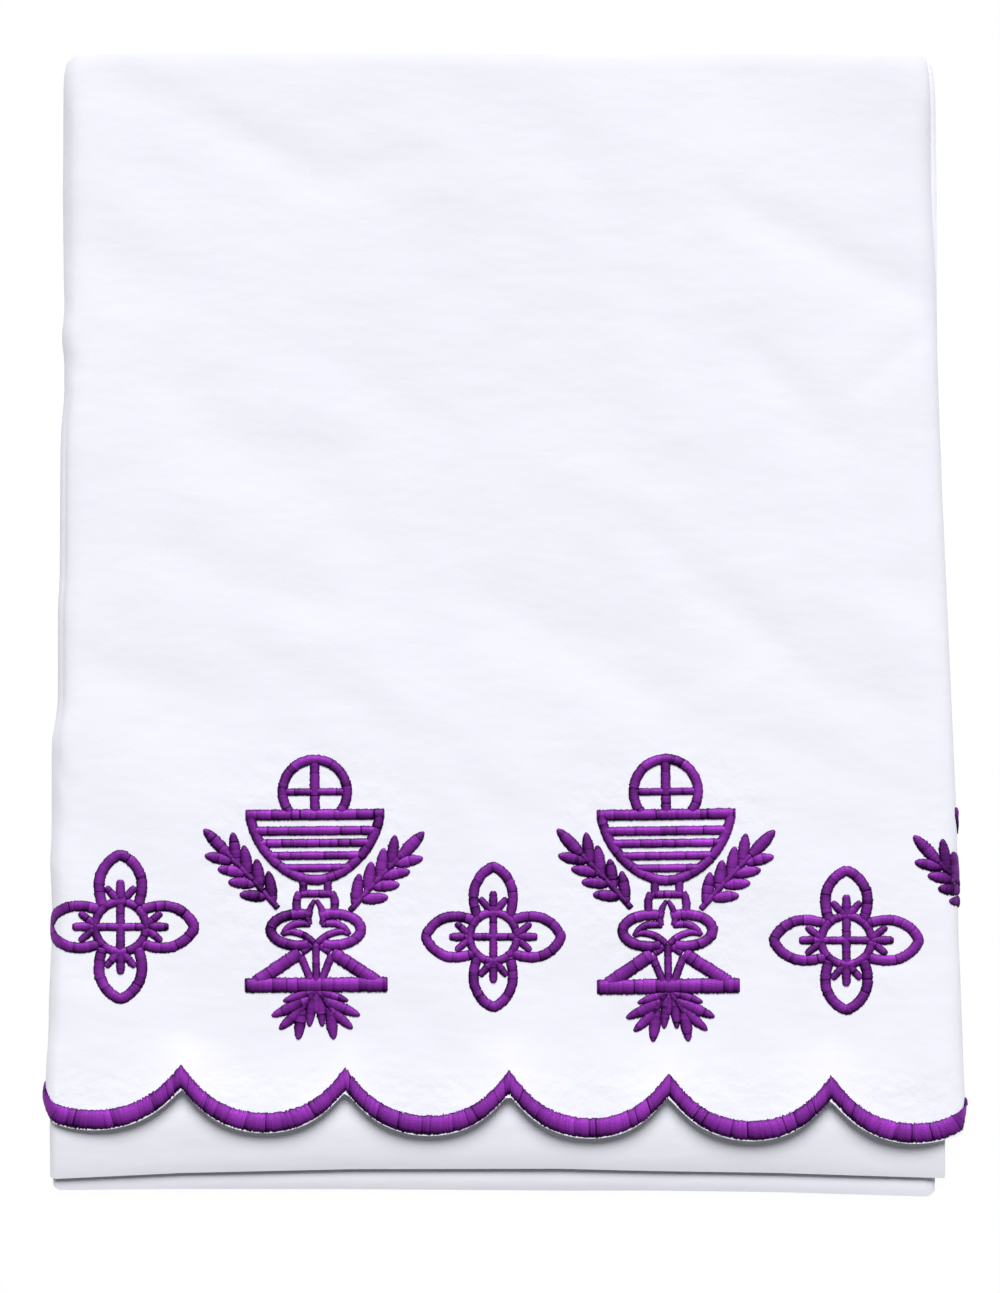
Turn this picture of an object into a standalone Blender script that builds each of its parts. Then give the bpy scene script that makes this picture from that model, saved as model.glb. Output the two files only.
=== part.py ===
"""An altar cloth folded into a flat packet, in metres, +Z up, resting on z = 0.

The cloth is one length. It is first folded in half across its width, so that the embroidered
front leaf lies on the plain back leaf and the fold is the far edge of the packet. The doubled
cloth is then folded across its length into four panels. Along its path the panels are:
under (lies on the table), front (on top, the one that shows), second and third (inside).
"""

import math

import bmesh
import bpy

MM = 0.001

# Cloth and stack
CLOTH = 1.0 * MM
LAYER_GAP = 0.5 * MM
STEP = CLOTH + LAYER_GAP
HALF_PAIR = STEP / 2
FAR_EDGE_Y = 250.6 * MM
UNDER_Z = CLOTH / 2 + HALF_PAIR
THIRD_Z = UNDER_Z + 2 * STEP
SECOND_Z = UNDER_Z + 4 * STEP
FRONT_Z = UNDER_Z + 6 * STEP

# Fold radii of the doubled cloth, at its middle
LEFT_RADIUS = (FRONT_Z - UNDER_Z) / 2
RIGHT_RADIUS = (FRONT_Z - SECOND_Z) / 2
INNER_RADIUS = (SECOND_Z - THIRD_Z) / 2
LEFT_SEGMENTS = 8
RIGHT_SEGMENTS = 5
INNER_SEGMENTS = 4
TOP_SEGMENTS = 3
CORNER_DROP = {"left": 8.0 * MM, "right": 3.0 * MM, "inner": 9.0 * MM}

# Scalloped hem of the front leaf
SCALLOP = 71.4 * MM
HEM_DOWN = 475.1 * MM
HEM_SLOPE = 0.0165
HEM_MARGIN = 0.7 * MM
OUTER_DEPTH = 18.0 * MM
INNER_DEPTH = 20.7 * MM
EDGING_WIDTH = 7.7 * MM
EDGING_HEIGHT = 0.9 * MM
EDGING_RIM = 0.5 * MM
CUSP_LIFT = 1.0 * MM
TROUGH_LIFT = 2.2 * MM
LIFT_TAPER = 30.0 * MM
SEAT_GAP = 0.3 * MM
STITCH_HEIGHT = 0.8 * MM
SLANT_REACH = 60.0 * MM
CUT_SNAP = 0.001 * MM
WELD = 0.02 * MM
FLAT_ANGLE = math.radians(1.0)

# Soft rise of the stack above the motifs
RISE = 0.05
RISE_LENGTH = 300.0 * MM
RISE_END = 290.0 * MM
RISE_START = 60.0 * MM

# Columns in each scallop of the hem
COLUMNS = {"under": 4, "front": 6, "second": 3, "third": 3}

# Front leaf, outermost reach of both side folds: down from the far edge, left, right
FRONT_ROWS = (
    (0.0, 193.6, 184.4),
    (19.0, 194.0, 185.2),
    (60.0, 194.0, 185.4),
    (111.0, 194.0, 189.0),
    (123.0, 195.4, 189.6),
    (138.0, 193.6, 190.2),
    (287.0, 196.7, 196.0),
    (309.0, 199.8, 196.8),
    (415.0, 200.6, 200.6),
    (436.0, 201.2, 201.2),
    (480.0, 203.4, 203.4),
)

# Back leaf, outermost reach of both side folds: down from the far edge, left, right
BACK_ROWS = (
    (0.0, 192.1, 182.9),
    (19.0, 192.2, 183.0),
    (190.0, 192.0, 186.4),
    (352.0, 197.0, 190.0),
    (450.0, 198.6, 191.6),
    (503.0, 200.6, 192.6),
)

# Cut ends of the third and the under panel: down from the far edge, third, under
END_ROWS = (
    (0.0, 187.0, 186.0),
    (19.0, 189.6, 187.0),
    (60.0, 188.4, 187.4),
    (480.0, 188.8, 188.0),
    (503.0, 187.6, 187.0),
)

# Plain hem of the back leaf, down from the far edge: place across, front, second, third, under
BACK_HEM = (
    (-200.6, 493.7, 498.5, 498.5, 493.7),
    (-143.4, 491.9, 492.5, 498.4, 492.0),
    (-68.6, 490.2, 489.8, 497.4, 491.0),
    (23.8, 490.2, 489.8, 497.6, 491.0),
    (63.4, 491.0, 490.6, 497.8, 491.0),
    (120.6, 491.9, 491.2, 498.5, 491.5),
    (192.3, 493.2, 493.2, 501.2, 492.5),
)
HEM_COLUMN = {"front": 1, "second": 2, "third": 3, "under": 4}

# Motif places on the front leaf: across from the middle, down from the far edge, stretch
CHALICE_DOWN = 411.0 * MM
CHALICES = (("chalice_left", -83.8 * MM), ("chalice_right", 70.6 * MM))
THIRD_CHALICE = 227.9 * MM
THIRD_SPRIG_DOWN = 413.5 * MM
FLOWERS = (
    ("cross_flower_1", -170.1 * MM, 383.0 * MM, (1.07, 1.045)),
    ("cross_flower_2", -5.2 * MM, 387.0 * MM, (0.98, 1.017)),
    ("cross_flower_3", 149.8 * MM, 388.5 * MM, (1.05, 1.01)),
)

# Where stitching ends round the side folds, as a share of the fold's half turn
EDGING_START = 0.3
EDGING_END = 0.7
SPRIG_END = 0.6

CLOTH_COLOUR = (0.87, 0.87, 0.95)
THREAD_COLOUR = (0.205, 0.014, 0.305)


def read_table(table, place, column):
    """Read a column of a table between its rows, in metres; the table is in millimetres."""
    place = place / MM
    if place <= table[0][0]:
        return table[0][column] * MM
    for low, high in zip(table, table[1:]):
        if place <= high[0]:
            share = (place - low[0]) / (high[0] - low[0])
            return (low[column] * (1 - share) + high[column] * share) * MM
    return table[-1][column] * MM


def mix(back, front, leaf):
    """Blend from the back leaf's value (leaf 0) to the front leaf's value (leaf 1)."""
    return back * (1 - leaf) + front * leaf


def left_fold(down, leaf):
    """Centre line of the big left fold."""
    front = read_table(FRONT_ROWS, down, 1) - LEFT_RADIUS - HALF_PAIR - CLOTH / 2
    back = read_table(BACK_ROWS, down, 1) - LEFT_RADIUS + HALF_PAIR - CLOTH / 2
    return -mix(back, front, leaf)


def right_fold(down, leaf):
    """Centre line of the right fold."""
    front = read_table(FRONT_ROWS, down, 2) - RIGHT_RADIUS - HALF_PAIR - CLOTH / 2
    back = read_table(BACK_ROWS, down, 2) - RIGHT_RADIUS + HALF_PAIR - CLOTH / 2
    return mix(back, front, leaf)


def inner_fold(down):
    """Centre line of the fold inside the big left one."""
    return left_fold(down, 0.0)


def rise(x, down):
    """Share by which the stack swells, none over the motifs and at the far edge."""
    if down > RISE_END:
        return 0.0
    fade = math.sin(math.pi * min(1.0, (RISE_END - down) / RISE_START) / 2) ** 2
    return RISE * fade * math.cos(math.tau * (x - down / 2) / RISE_LENGTH)


def panel_line(section, down, leaf):
    """Where a panel starts and ends across the packet, in the direction of the cloth's path."""
    if section == "under":
        return read_table(END_ROWS, down, 2), left_fold(down, leaf)
    if section == "front":
        return left_fold(down, leaf), right_fold(down, leaf)
    if section == "second":
        return right_fold(down, leaf), inner_fold(down)
    return inner_fold(down), read_table(END_ROWS, down, 1)


def place(section, share, down, height, leaf):
    """Point of the cloth: share of the way through a section, height off the pair's middle."""
    y = FAR_EDGE_Y - down
    turn = math.pi * share
    if section == "left":
        radius = LEFT_RADIUS + height
        x = left_fold(down, leaf) - radius * math.sin(turn)
        z = (UNDER_Z + FRONT_Z) / 2 - radius * math.cos(turn)
    elif section == "right":
        radius = RIGHT_RADIUS + height
        x = right_fold(down, leaf) + radius * math.sin(turn)
        z = (FRONT_Z + SECOND_Z) / 2 + radius * math.cos(turn)
    elif section == "inner":
        radius = INNER_RADIUS - height
        x = inner_fold(down) - radius * math.sin(turn)
        z = (SECOND_Z + THIRD_Z) / 2 + radius * math.cos(turn)
    else:
        start, end = panel_line(section, down, leaf)
        x = start * (1 - share) + end * share
        level, way = {
            "under": (UNDER_Z, -1), "front": (FRONT_Z, 1), "second": (SECOND_Z, -1), "third": (THIRD_Z, 1),
        }[section]
        z = level + way * height
    return x, y, z * (1 + rise(x, down))


def run_lengths():
    """Sections in the order of the path, each with the length of the front leaf in it."""
    lengths = []
    for section in ("under", "left", "front", "right", "second", "inner", "third"):
        if section == "left":
            length = math.pi * (LEFT_RADIUS + HALF_PAIR)
        elif section == "right":
            length = math.pi * (RIGHT_RADIUS + HALF_PAIR)
        elif section == "inner":
            length = math.pi * (INNER_RADIUS - HALF_PAIR)
        else:
            start, end = panel_line(section, HEM_DOWN, 1.0)
            length = abs(end - start)
        lengths.append((section, length))
    return lengths


def make_columns():
    """List the cloth's columns as (section, share, run); run is zero at the packet's middle."""
    lengths = run_lengths()
    run = left_fold(HEM_DOWN, 1.0) - lengths[0][1] - lengths[1][1]
    segments = {"left": LEFT_SEGMENTS, "right": RIGHT_SEGMENTS, "inner": INNER_SEGMENTS}
    columns = []
    for section, length in lengths:
        if section in segments:
            count = segments[section]
            shares = [step / count for step in range(count)]
        else:
            pitch = SCALLOP / COLUMNS[section]
            first = math.ceil((run + pitch / 3) / pitch)
            last = math.floor((run + length - pitch / 3) / pitch)
            shares = [0.0] + [(step * pitch - run) / length for step in range(first, last + 1)]
        columns += [(section, share, run + share * length) for share in shares]
        run += length
    columns.append((section, 1.0, run))
    return columns


def arc_drop(run, depth):
    """How far below its cusps a scallop's arc lies, at a place along the hem."""
    offset = run / SCALLOP - math.floor(run / SCALLOP) - 0.5
    half = SCALLOP / 2
    radius = (half * half + depth * depth) / (2 * depth)
    return math.sqrt(radius * radius - (offset * SCALLOP) ** 2) - (radius - depth)


def hem_line(run, x, inset):
    """Scalloped line: inset 0 is the edging's outer line, 1 its inner line."""
    trough = HEM_DOWN + HEM_SLOPE * x - EDGING_WIDTH * inset
    depth = OUTER_DEPTH * (1 - inset) + INNER_DEPTH * inset
    return trough - depth + arc_drop(run, depth)


def hem_lift(section, run, x, down):
    """How far the front panel's hem stands off the layer below it."""
    if section != "front":
        return 0.0
    start = FRONT_ROWS[-2][0] * MM
    if down <= start:
        return 0.0
    edge = hem_line(run, x, 0.0) + HEM_MARGIN
    wave = (1 - math.cos(math.tau * run / SCALLOP)) / 2
    inside = min(x - left_fold(down, 1.0), right_fold(down, 1.0) - x)
    taper = math.sin(math.pi * min(1.0, max(0.0, inside) / LIFT_TAPER) / 2) ** 2
    return (CUSP_LIFT + (TROUGH_LIFT - CUSP_LIFT) * wave) * taper * (down - start) / (edge - start)


def far_edge(section, share):
    """How far the far edge drops at a column, where the corners are rounded."""
    if section in CORNER_DROP:
        return CORNER_DROP[section] * math.sin(math.pi * share) ** 2
    return 0.0


def back_hem(section, x):
    """Plain hem of the back leaf; both panels of a fold meet there at one length."""
    side = {"left": "front", "right": "front", "inner": "third"}.get(section, section)
    return read_table(BACK_HEM, x, HEM_COLUMN[side])


def make_rows(section, share, run):
    """Rows of one column from the scalloped hem over the far edge to the plain hem.

    Each row is (down, height, leaf, turn): height is off the pair's middle at the cloth's centre,
    turn is the direction of the cloth's outer side, from the front leaf (0) to the back leaf (pi).
    """
    x = place(section, share, HEM_DOWN, HALF_PAIR, 1.0)[0]
    rows = [(hem_line(run, x, 0.0) + HEM_MARGIN, 1.0, 0.0), (hem_line(run, x, 1.0), 1.0, 0.0)]
    rows += [(row[0] * MM, 1.0, 0.0) for row in reversed(FRONT_ROWS[1:-1])]
    edge = far_edge(section, share) + HALF_PAIR + CLOTH / 2
    for step in range(TOP_SEGMENTS + 1):
        turn = math.pi * step / TOP_SEGMENTS
        rows.append((edge, 1 - step / TOP_SEGMENTS, turn))
    rows += [(row[0] * MM, 0.0, math.pi) for row in BACK_ROWS[1:-1]]
    hem_x = place(section, share, BACK_ROWS[-1][0] * MM, -HALF_PAIR, 0.0)[0]
    rows.append((back_hem(section, hem_x), 0.0, math.pi))
    return rows


def cloth_point(column, row, side):
    """Corner of the cloth's mesh: side 1 is the outer skin, side -1 the inner one."""
    section, share, run = column
    down, leaf, turn = row
    radius = HALF_PAIR + side * CLOTH / 2
    down -= radius * math.sin(turn)
    x, y, z = place(section, share, down, radius * math.cos(turn), leaf)
    if leaf == 1.0 and turn == 0.0:
        z += hem_lift(section, run, x, down)
    return x, y, z


def thread_material(name, colour, roughness):
    """Plain cloth or thread finish."""
    material = bpy.data.materials.new(name)
    material.use_nodes = True
    shader = material.node_tree.nodes["Principled BSDF"]
    shader.inputs["Base Color"].default_value = (*colour, 1.0)
    shader.inputs["Roughness"].default_value = roughness
    shader.inputs["Metallic"].default_value = 0.0
    return material


def finish_object(name, bm, material):
    """Turn a closed bmesh into a named object with its material."""
    bmesh.ops.recalc_face_normals(bm, faces=bm.faces)
    if bm.calc_volume(signed=True) < 0:
        bmesh.ops.reverse_faces(bm, faces=bm.faces)
    mesh = bpy.data.meshes.new(name)
    bm.to_mesh(mesh)
    bm.free()
    mesh.materials.append(material)
    thing = bpy.data.objects.new(name, mesh)
    bpy.context.scene.collection.objects.link(thing)
    return thing


def thick_sheet(name, outer, inner, material):
    """Close two grids of points, one above the other, into one solid with a rim."""
    bm = bmesh.new()
    skins = [[[bm.verts.new(point) for point in line] for line in grid] for grid in (outer, inner)]
    last_column = len(outer) - 1
    last_row = len(outer[0]) - 1

    def quad(a, b, c, d):
        bm.faces.new((a, b, c))
        bm.faces.new((a, c, d))

    for skin in skins:
        for i in range(last_column):
            for j in range(last_row):
                quad(skin[i][j], skin[i + 1][j], skin[i + 1][j + 1], skin[i][j + 1])
    top, under = skins
    for i in range(last_column):
        for j in (0, last_row):
            quad(top[i][j], top[i + 1][j], under[i + 1][j], under[i][j])
    for j in range(last_row):
        for i in (0, last_column):
            quad(top[i][j], top[i][j + 1], under[i][j + 1], under[i][j])
    return finish_object(name, bm, material)


def make_cloth():
    """The whole cloth: one sheet, doubled at the far edge and folded into four panels."""
    columns = make_columns()
    grids = []
    for side in (1, -1):
        grids.append([[cloth_point(column, row, side) for row in make_rows(*column)] for column in columns])
    return thick_sheet("altar_cloth", *grids, thread_material("white_cloth", CLOTH_COLOUR, 0.6))


def lay_on_front(run, down, height):
    """Point of the front leaf's outer side, round its folds too; height is above the cloth."""
    left = left_fold(down, 1.0)
    right = right_fold(down, 1.0)
    off_middle = HALF_PAIR + CLOTH / 2 + height
    if run < left:
        share = 1 - (left - run) / (math.pi * (LEFT_RADIUS + HALF_PAIR))
        return place("left", share, down, off_middle, 1.0)
    if run > right:
        share = (run - right) / (math.pi * (RIGHT_RADIUS + HALF_PAIR))
        return place("right", share, down, off_middle, 1.0)
    return place("front", (run - left) / (right - left), down, off_middle, 1.0)


def make_edging():
    """Domed band along the scallops, from low on the left fold to low on the right one."""
    columns = []
    for column in make_columns():
        section, share, run = column
        on_left = section == "left" and share > EDGING_START
        on_right = section == "right" and share < EDGING_END
        if section == "front" or on_left or on_right:
            columns.append(column)
    profile = ((0.0, EDGING_RIM), (0.5, EDGING_HEIGHT), (1.0, EDGING_RIM))
    outer = []
    under = []
    for section, share, run in columns:
        x = place(section, share, HEM_DOWN, HALF_PAIR, 1.0)[0]
        lines = [[], []]
        for inset, height in profile:
            down = hem_line(run, x, 0.0) * (1 - inset) + hem_line(run, x, 1.0) * inset
            for line, lift in zip(lines, (height, 0.0)):
                off_middle = HALF_PAIR + CLOTH / 2 + SEAT_GAP + lift
                px, py, pz = place(section, share, down, off_middle, 1.0)
                line.append((px, py, pz + hem_lift(section, run, px, down)))
        outer.append(lines[0])
        under.append(lines[1])
    material = thread_material("edging_thread", THREAD_COLOUR, 0.4)
    return thick_sheet("scallop_edging", outer, under, material)


def add_band(bm, line, widths, closed=False):
    """Add a flat band of stitches along a line, in millimetres, as one closed body."""
    count = len(line)
    if not isinstance(widths, (list, tuple)):
        widths = [widths] * count
    corners = []
    for i, (x, y) in enumerate(line):
        before = line[i - 1] if i or closed else line[0]
        after = line[(i + 1) % count] if i < count - 1 or closed else line[-1]
        dx, dy = after[0] - before[0], after[1] - before[1]
        length = math.hypot(dx, dy)
        side_x, side_y = -dy / length * widths[i] / 2, dx / length * widths[i] / 2
        corner = []
        for way, z in ((1, 0.0), (1, 1.0), (-1, 1.0), (-1, 0.0)):
            point = ((x + way * side_x) * MM, (y + way * side_y) * MM, z * STITCH_HEIGHT)
            corner.append(bm.verts.new(point))
        corners.append(corner)
    for i in range(count if closed else count - 1):
        here, there = corners[i], corners[(i + 1) % count]
        for k in range(4):
            bm.faces.new((here[k], there[k], there[(k + 1) % 4], here[(k + 1) % 4]))
    if not closed:
        bm.faces.new(corners[0])
        bm.faces.new(list(reversed(corners[-1])))


def add_leaf(bm, root, tip, width):
    """Add a pointed leaf from its root to its tip."""
    profile = ((0.0, 0.4), (0.35, 0.95), (0.7, 0.9), (1.0, 0.15))
    line = [(root[0] + (tip[0] - root[0]) * t, root[1] + (tip[1] - root[1]) * t) for t, _ in profile]
    add_band(bm, line, [width * share for _, share in profile])


def arc(centre, radii, start, end, count):
    """Points along an ellipse, from a start to an end angle in degrees."""
    points = []
    for step in range(count + 1):
        angle = math.radians(start + (end - start) * step / count)
        points.append((centre[0] + radii[0] * math.cos(angle), centre[1] + radii[1] * math.sin(angle)))
    return points


def both_sides(points):
    """A line and its mirror image across the motif's middle."""
    return points, [(-x, y) for x, y in points]


# Chalice, in millimetres from the middle of its foot bar's lower edge, up positive
CUP_RIM_UP = 80.4
CUP_HALF_WIDTH = 30.4
CUP_DEPTH = 32.1
CUP_POWER = 1.8
COLUMN_WIDTH = 4.0
HOST_UP = 88.4
HOST_RADIUS = 14.2
CUP_BARS = ((8.8, 3.7), (14.1, 3.3), (19.7, 3.0), (24.8, 3.3))
LOBE = ((7.6, 27.2), (12.5, 7.0))
FOOT_HEIGHT = 5.8
FOOT_HALF = 31.5


def cup_half_width(depth):
    """Half width of the cup's middle line at a depth below its rim."""
    share = min(1.0, depth / (CUP_DEPTH - COLUMN_WIDTH / 2))
    return (CUP_HALF_WIDTH - COLUMN_WIDTH / 2) * (1 - share ** CUP_POWER) ** (1 / CUP_POWER)


def chalice_bands(bm):
    """All bands of stitches of the chalice, with the round host above and the leaf spray below."""
    add_band(bm, arc((0, HOST_UP), (HOST_RADIUS, HOST_RADIUS), -40, 220, 13), COLUMN_WIDTH)
    add_band(bm, [(0, CUP_RIM_UP - 2), (0, HOST_UP + HOST_RADIUS)], 3.9)
    add_band(bm, [(-HOST_RADIUS, HOST_UP), (HOST_RADIUS, HOST_UP)], 2.7)
    add_band(bm, [(-CUP_HALF_WIDTH, CUP_RIM_UP - 2), (CUP_HALF_WIDTH, CUP_RIM_UP - 2)], COLUMN_WIDTH)
    rim_to_base = [CUP_DEPTH * t for t in (0.06, 0.25, 0.45, 0.62, 0.77, 0.88, 0.935)]
    cup = [(-cup_half_width(depth), CUP_RIM_UP - depth) for depth in rim_to_base]
    cup = cup + [(-x, y) for x, y in reversed(cup)]
    add_band(bm, cup, COLUMN_WIDTH)
    for depth, width in CUP_BARS:
        half = cup_half_width(depth)
        add_band(bm, [(-half, CUP_RIM_UP - depth), (half, CUP_RIM_UP - depth)], width)
    for line in both_sides([(5.8, 51.0), (5.8, 43.5)]):
        add_band(bm, line, 2.8)
    add_band(bm, [(-7.0, 43.3), (7.0, 43.3)], 2.8)
    for line in both_sides([(6.9, 43.8), (8.0, 41.5), (8.4, 38.8), (8.0, 35.0), (7.4, 33.0)]):
        add_band(bm, line, 2.8)
    for line in both_sides([(0.0, 40.0), (2.2, 36.6), (2.9, 32.4), (1.3, 28.8)]):
        add_band(bm, line, 2.8)
    for line in both_sides(arc(*LOBE, 130, -115, 10)):
        add_band(bm, line, 3.9)
    for line in both_sides([(1.6, 29.3), (8.2, 29.4), (15.6, 25.0)]):
        add_band(bm, line, [2.6, 2.8, 1.0])
    for line in both_sides([(15.4, 24.8), (8.2, 25.6), (3.2, 24.0), (0.0, 20.8)]):
        add_band(bm, line, [1.0, 2.6, 2.6, 2.6])
    for line in both_sides([(6.4, 21.4), (2.0, 17.4)]):
        add_band(bm, line, 2.2)
    for line in both_sides([(6.9, 17.0), (22.4, 5.0)]):
        add_band(bm, line, 5.1)
    for line in both_sides([(7.0, 16.4), (1.6, 3.0)]):
        add_band(bm, line, 2.8)
    add_band(bm, [(0.0, 21.5), (0.0, 3.0)], 2.9)
    add_band(bm, [(-FOOT_HALF, FOOT_HEIGHT / 2), (FOOT_HALF, FOOT_HEIGHT / 2)], FOOT_HEIGHT)
    spray = (
        ((3.0, 0.4), (14.2, -4.0), 3.2), ((4.4, -5.0), (19.4, -10.4), 4.2),
        ((6.9, -8.6), (15.6, -16.4), 3.5), ((6.7, -8.8), (7.8, -21.0), 4.6), ((2.0, -1.0), (2.9, -15.6), 3.7),
    )
    for root, tip, width in spray:
        for way in (-1, 1):
            add_leaf(bm, (way * root[0], root[1]), (way * tip[0], tip[1]), width)
    for line in both_sides([(0.5, 1.0), (7.2, -9.6)]):
        add_band(bm, line, 1.6)


def sprig_bands(bm, way):
    """Leafy sprig beside a chalice, from its cut stem near the knop up to its tip leaf."""
    leaves = (
        ((38.6, 60.6), (48.9, 71.4), 4.6),
        ((34.4, 56.6), (36.2, 70.0), 4.2), ((29.6, 51.4), (31.3, 64.3), 4.4),
        ((24.2, 46.0), (25.8, 58.3), 4.5), ((18.6, 39.8), (20.5, 53.0), 4.3),
        ((36.9, 57.4), (48.5, 59.9), 4.2), ((31.2, 52.1), (42.8, 54.0), 4.2),
        ((27.2, 47.3), (38.2, 48.2), 4.2), ((22.3, 41.6), (33.2, 42.7), 4.2),
    )
    add_band(bm, [(way * 16.2, 36.6), (way * 27.5, 49.2), (way * 39.6, 61.6)], 2.3)
    for root, tip, width in leaves:
        add_leaf(bm, (way * root[0], root[1]), (way * tip[0], tip[1]), width)


def flower_bands(bm):
    """Quatrefoil cross: a ring with a cross in it, four pointed petals and a sprig in each."""
    add_band(bm, arc((0, 0), (10.5, 10.5), 10, 350, 17), 3.0, closed=True)
    add_band(bm, [(0, -10.5), (0, 10.5)], 3.2)
    add_band(bm, [(-10.5, 0), (10.5, 0)], 2.9)
    petal = [(7.3, 8.6), (8.6, 15.0), (8.2, 21.0), (5.4, 26.2), (0.0, 29.9)]
    petal = petal + [(-x, y) for x, y in reversed(petal[:-1])]
    leaves = (
        ((0.0, 10.4), (0.0, 20.4), 3.2),
        ((0.9, 10.8), (6.0, 17.6), 2.9),
        ((-0.9, 10.8), (-6.0, 17.6), 2.9),
    )
    for quarter in range(4):
        turn = math.radians(90 * quarter)

        def turned(point):
            x = point[0] * math.cos(turn) - point[1] * math.sin(turn)
            return x, point[0] * math.sin(turn) + point[1] * math.cos(turn)

        add_band(bm, [turned(point) for point in petal], 3.8)
        for root, tip, width in leaves:
            add_leaf(bm, turned(root), turned(tip), width)


def bare_object(name, bm):
    """Object from a bmesh, used while bands are joined."""
    mesh = bpy.data.meshes.new(name)
    bm.to_mesh(mesh)
    bm.free()
    thing = bpy.data.objects.new(name, mesh)
    bpy.context.scene.collection.objects.link(thing)
    return thing


def join_bands(draw):
    """Unite all overlapping bands of a motif into one flat closed body."""
    bm = bmesh.new()
    draw(bm)
    bmesh.ops.recalc_face_normals(bm, faces=bm.faces)
    whole = bare_object("bands", bm)
    seed_bm = bmesh.new()
    seed = bare_object("seed", seed_bm)
    union = whole.modifiers.new("union", "BOOLEAN")
    union.operation = "UNION"
    union.solver = "EXACT"
    union.use_self = True
    union.object = seed
    bpy.context.view_layer.update()
    evaluated = whole.evaluated_get(bpy.context.evaluated_depsgraph_get())
    flat = bmesh.new()
    flat.from_mesh(evaluated.to_mesh())
    evaluated.to_mesh_clear()
    bmesh.ops.remove_doubles(flat, verts=flat.verts, dist=WELD)
    bmesh.ops.dissolve_limit(flat, angle_limit=FLAT_ANGLE, verts=flat.verts, edges=flat.edges)
    for thing in (whole, seed):
        bpy.data.objects.remove(thing)
    return flat


def lay_motif(name, flat, across, down, material, stretch=(1.0, 1.0)):
    """Cut a flat motif where the cloth turns, then lay its points on the front leaf."""
    bm = flat.copy()
    cuts = []
    folds = (
        (left_fold, LEFT_SEGMENTS, -math.pi * (LEFT_RADIUS + HALF_PAIR)),
        (right_fold, RIGHT_SEGMENTS, math.pi * (RIGHT_RADIUS + HALF_PAIR)),
    )
    for fold, segments, length in folds:
        slant = (fold(down, 1.0) - fold(down - SLANT_REACH, 1.0)) / SLANT_REACH
        cuts += [(fold(down, 1.0) + length * step / segments, slant) for step in range(segments + 1)]
    for stop, slant in cuts:
        geometry = bm.verts[:] + bm.edges[:] + bm.faces[:]
        point = ((stop - across) / stretch[0], 0, 0)
        bmesh.ops.bisect_plane(bm, geom=geometry, dist=CUT_SNAP, plane_co=point, plane_no=(1, slant, 0))
    bmesh.ops.triangulate(bm, faces=bm.faces, quad_method="BEAUTY", ngon_method="BEAUTY")
    for vert in bm.verts:
        x, up, height = vert.co
        vert.co = lay_on_front(across + x * stretch[0], down - up * stretch[1], SEAT_GAP + height)
    return finish_object(name, bm, material)


def cut_to_front(flat, across):
    """Keep the part of a motif that lies on the front panel and round the right fold's top."""
    limit = right_fold(CHALICE_DOWN, 1.0) + SPRIG_END * math.pi * (RIGHT_RADIUS + HALF_PAIR) - across
    bm = flat.copy()
    geometry = bm.verts[:] + bm.edges[:] + bm.faces[:]
    cut = bmesh.ops.bisect_plane(
        bm, geom=geometry, dist=CUT_SNAP, plane_co=(limit, 0, 0), plane_no=(1, 0, 0), clear_outer=True,
    )
    edges = [item for item in cut["geom_cut"] if isinstance(item, bmesh.types.BMEdge)]
    bmesh.ops.contextual_create(bm, geom=edges)
    bodies = split_bodies(bm)
    loose = [vert for body in sorted(bodies, key=len)[:-1] for vert in body]
    bmesh.ops.delete(bm, geom=loose, context="VERTS")
    return bm


def split_bodies(bm):
    """Group the points of a mesh into its connected bodies."""
    waiting = set(bm.verts)
    bodies = []
    while waiting:
        body = [waiting.pop()]
        for vert in body:
            for edge in vert.link_edges:
                other = edge.other_vert(vert)
                if other in waiting:
                    waiting.remove(other)
                    body.append(other)
        bodies.append(body)
    return bodies


def make_motifs():
    """Chalices, sprigs and cross flowers on the front panel."""
    thread = thread_material("motif_thread", THREAD_COLOUR, 0.4)
    chalice = join_bands(chalice_bands)
    for name, across in CHALICES:
        lay_motif(name, chalice, across, CHALICE_DOWN, thread)
    left_sprig = join_bands(lambda bm: sprig_bands(bm, -1))
    right_sprig = join_bands(lambda bm: sprig_bands(bm, 1))
    number = 1
    for _, across in CHALICES:
        for sprig in (left_sprig, right_sprig):
            lay_motif(f"sprig_{number}", sprig, across, CHALICE_DOWN, thread)
            number += 1
    edge_sprig = cut_to_front(left_sprig, THIRD_CHALICE)
    lay_motif(f"sprig_{number}", edge_sprig, THIRD_CHALICE, THIRD_SPRIG_DOWN, thread)
    flower = join_bands(flower_bands)
    for name, across, down, stretch in FLOWERS:
        lay_motif(name, flower, across, down, thread, stretch)


def centre_on_base():
    """Move everything so that the middle of the bounding box's base is the origin."""
    meshes = [thing.data for thing in bpy.context.scene.objects if thing.type == "MESH"]
    points = [vert.co for mesh in meshes for vert in mesh.vertices]
    low = [min(point[axis] for point in points) for axis in range(3)]
    high = [max(point[axis] for point in points) for axis in range(3)]
    middle = ((low[0] + high[0]) / 2, (low[1] + high[1]) / 2, low[2])
    print("size in mm", [round((b - a) / MM, 2) for a, b in zip(low, high)])
    print("moved in mm", [round(-m / MM, 3) for m in middle])
    for mesh in meshes:
        for vert in mesh.vertices:
            for axis in range(3):
                vert.co[axis] -= middle[axis]


def print_flat_size():
    """Say how large the cloth is when it is opened out."""
    lengths = [length for _, length in run_lengths()]
    across = HEM_DOWN + BACK_HEM[0][1] * MM
    print("flat size in mm", round(sum(lengths) / MM), "by", round(across / MM))


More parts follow.
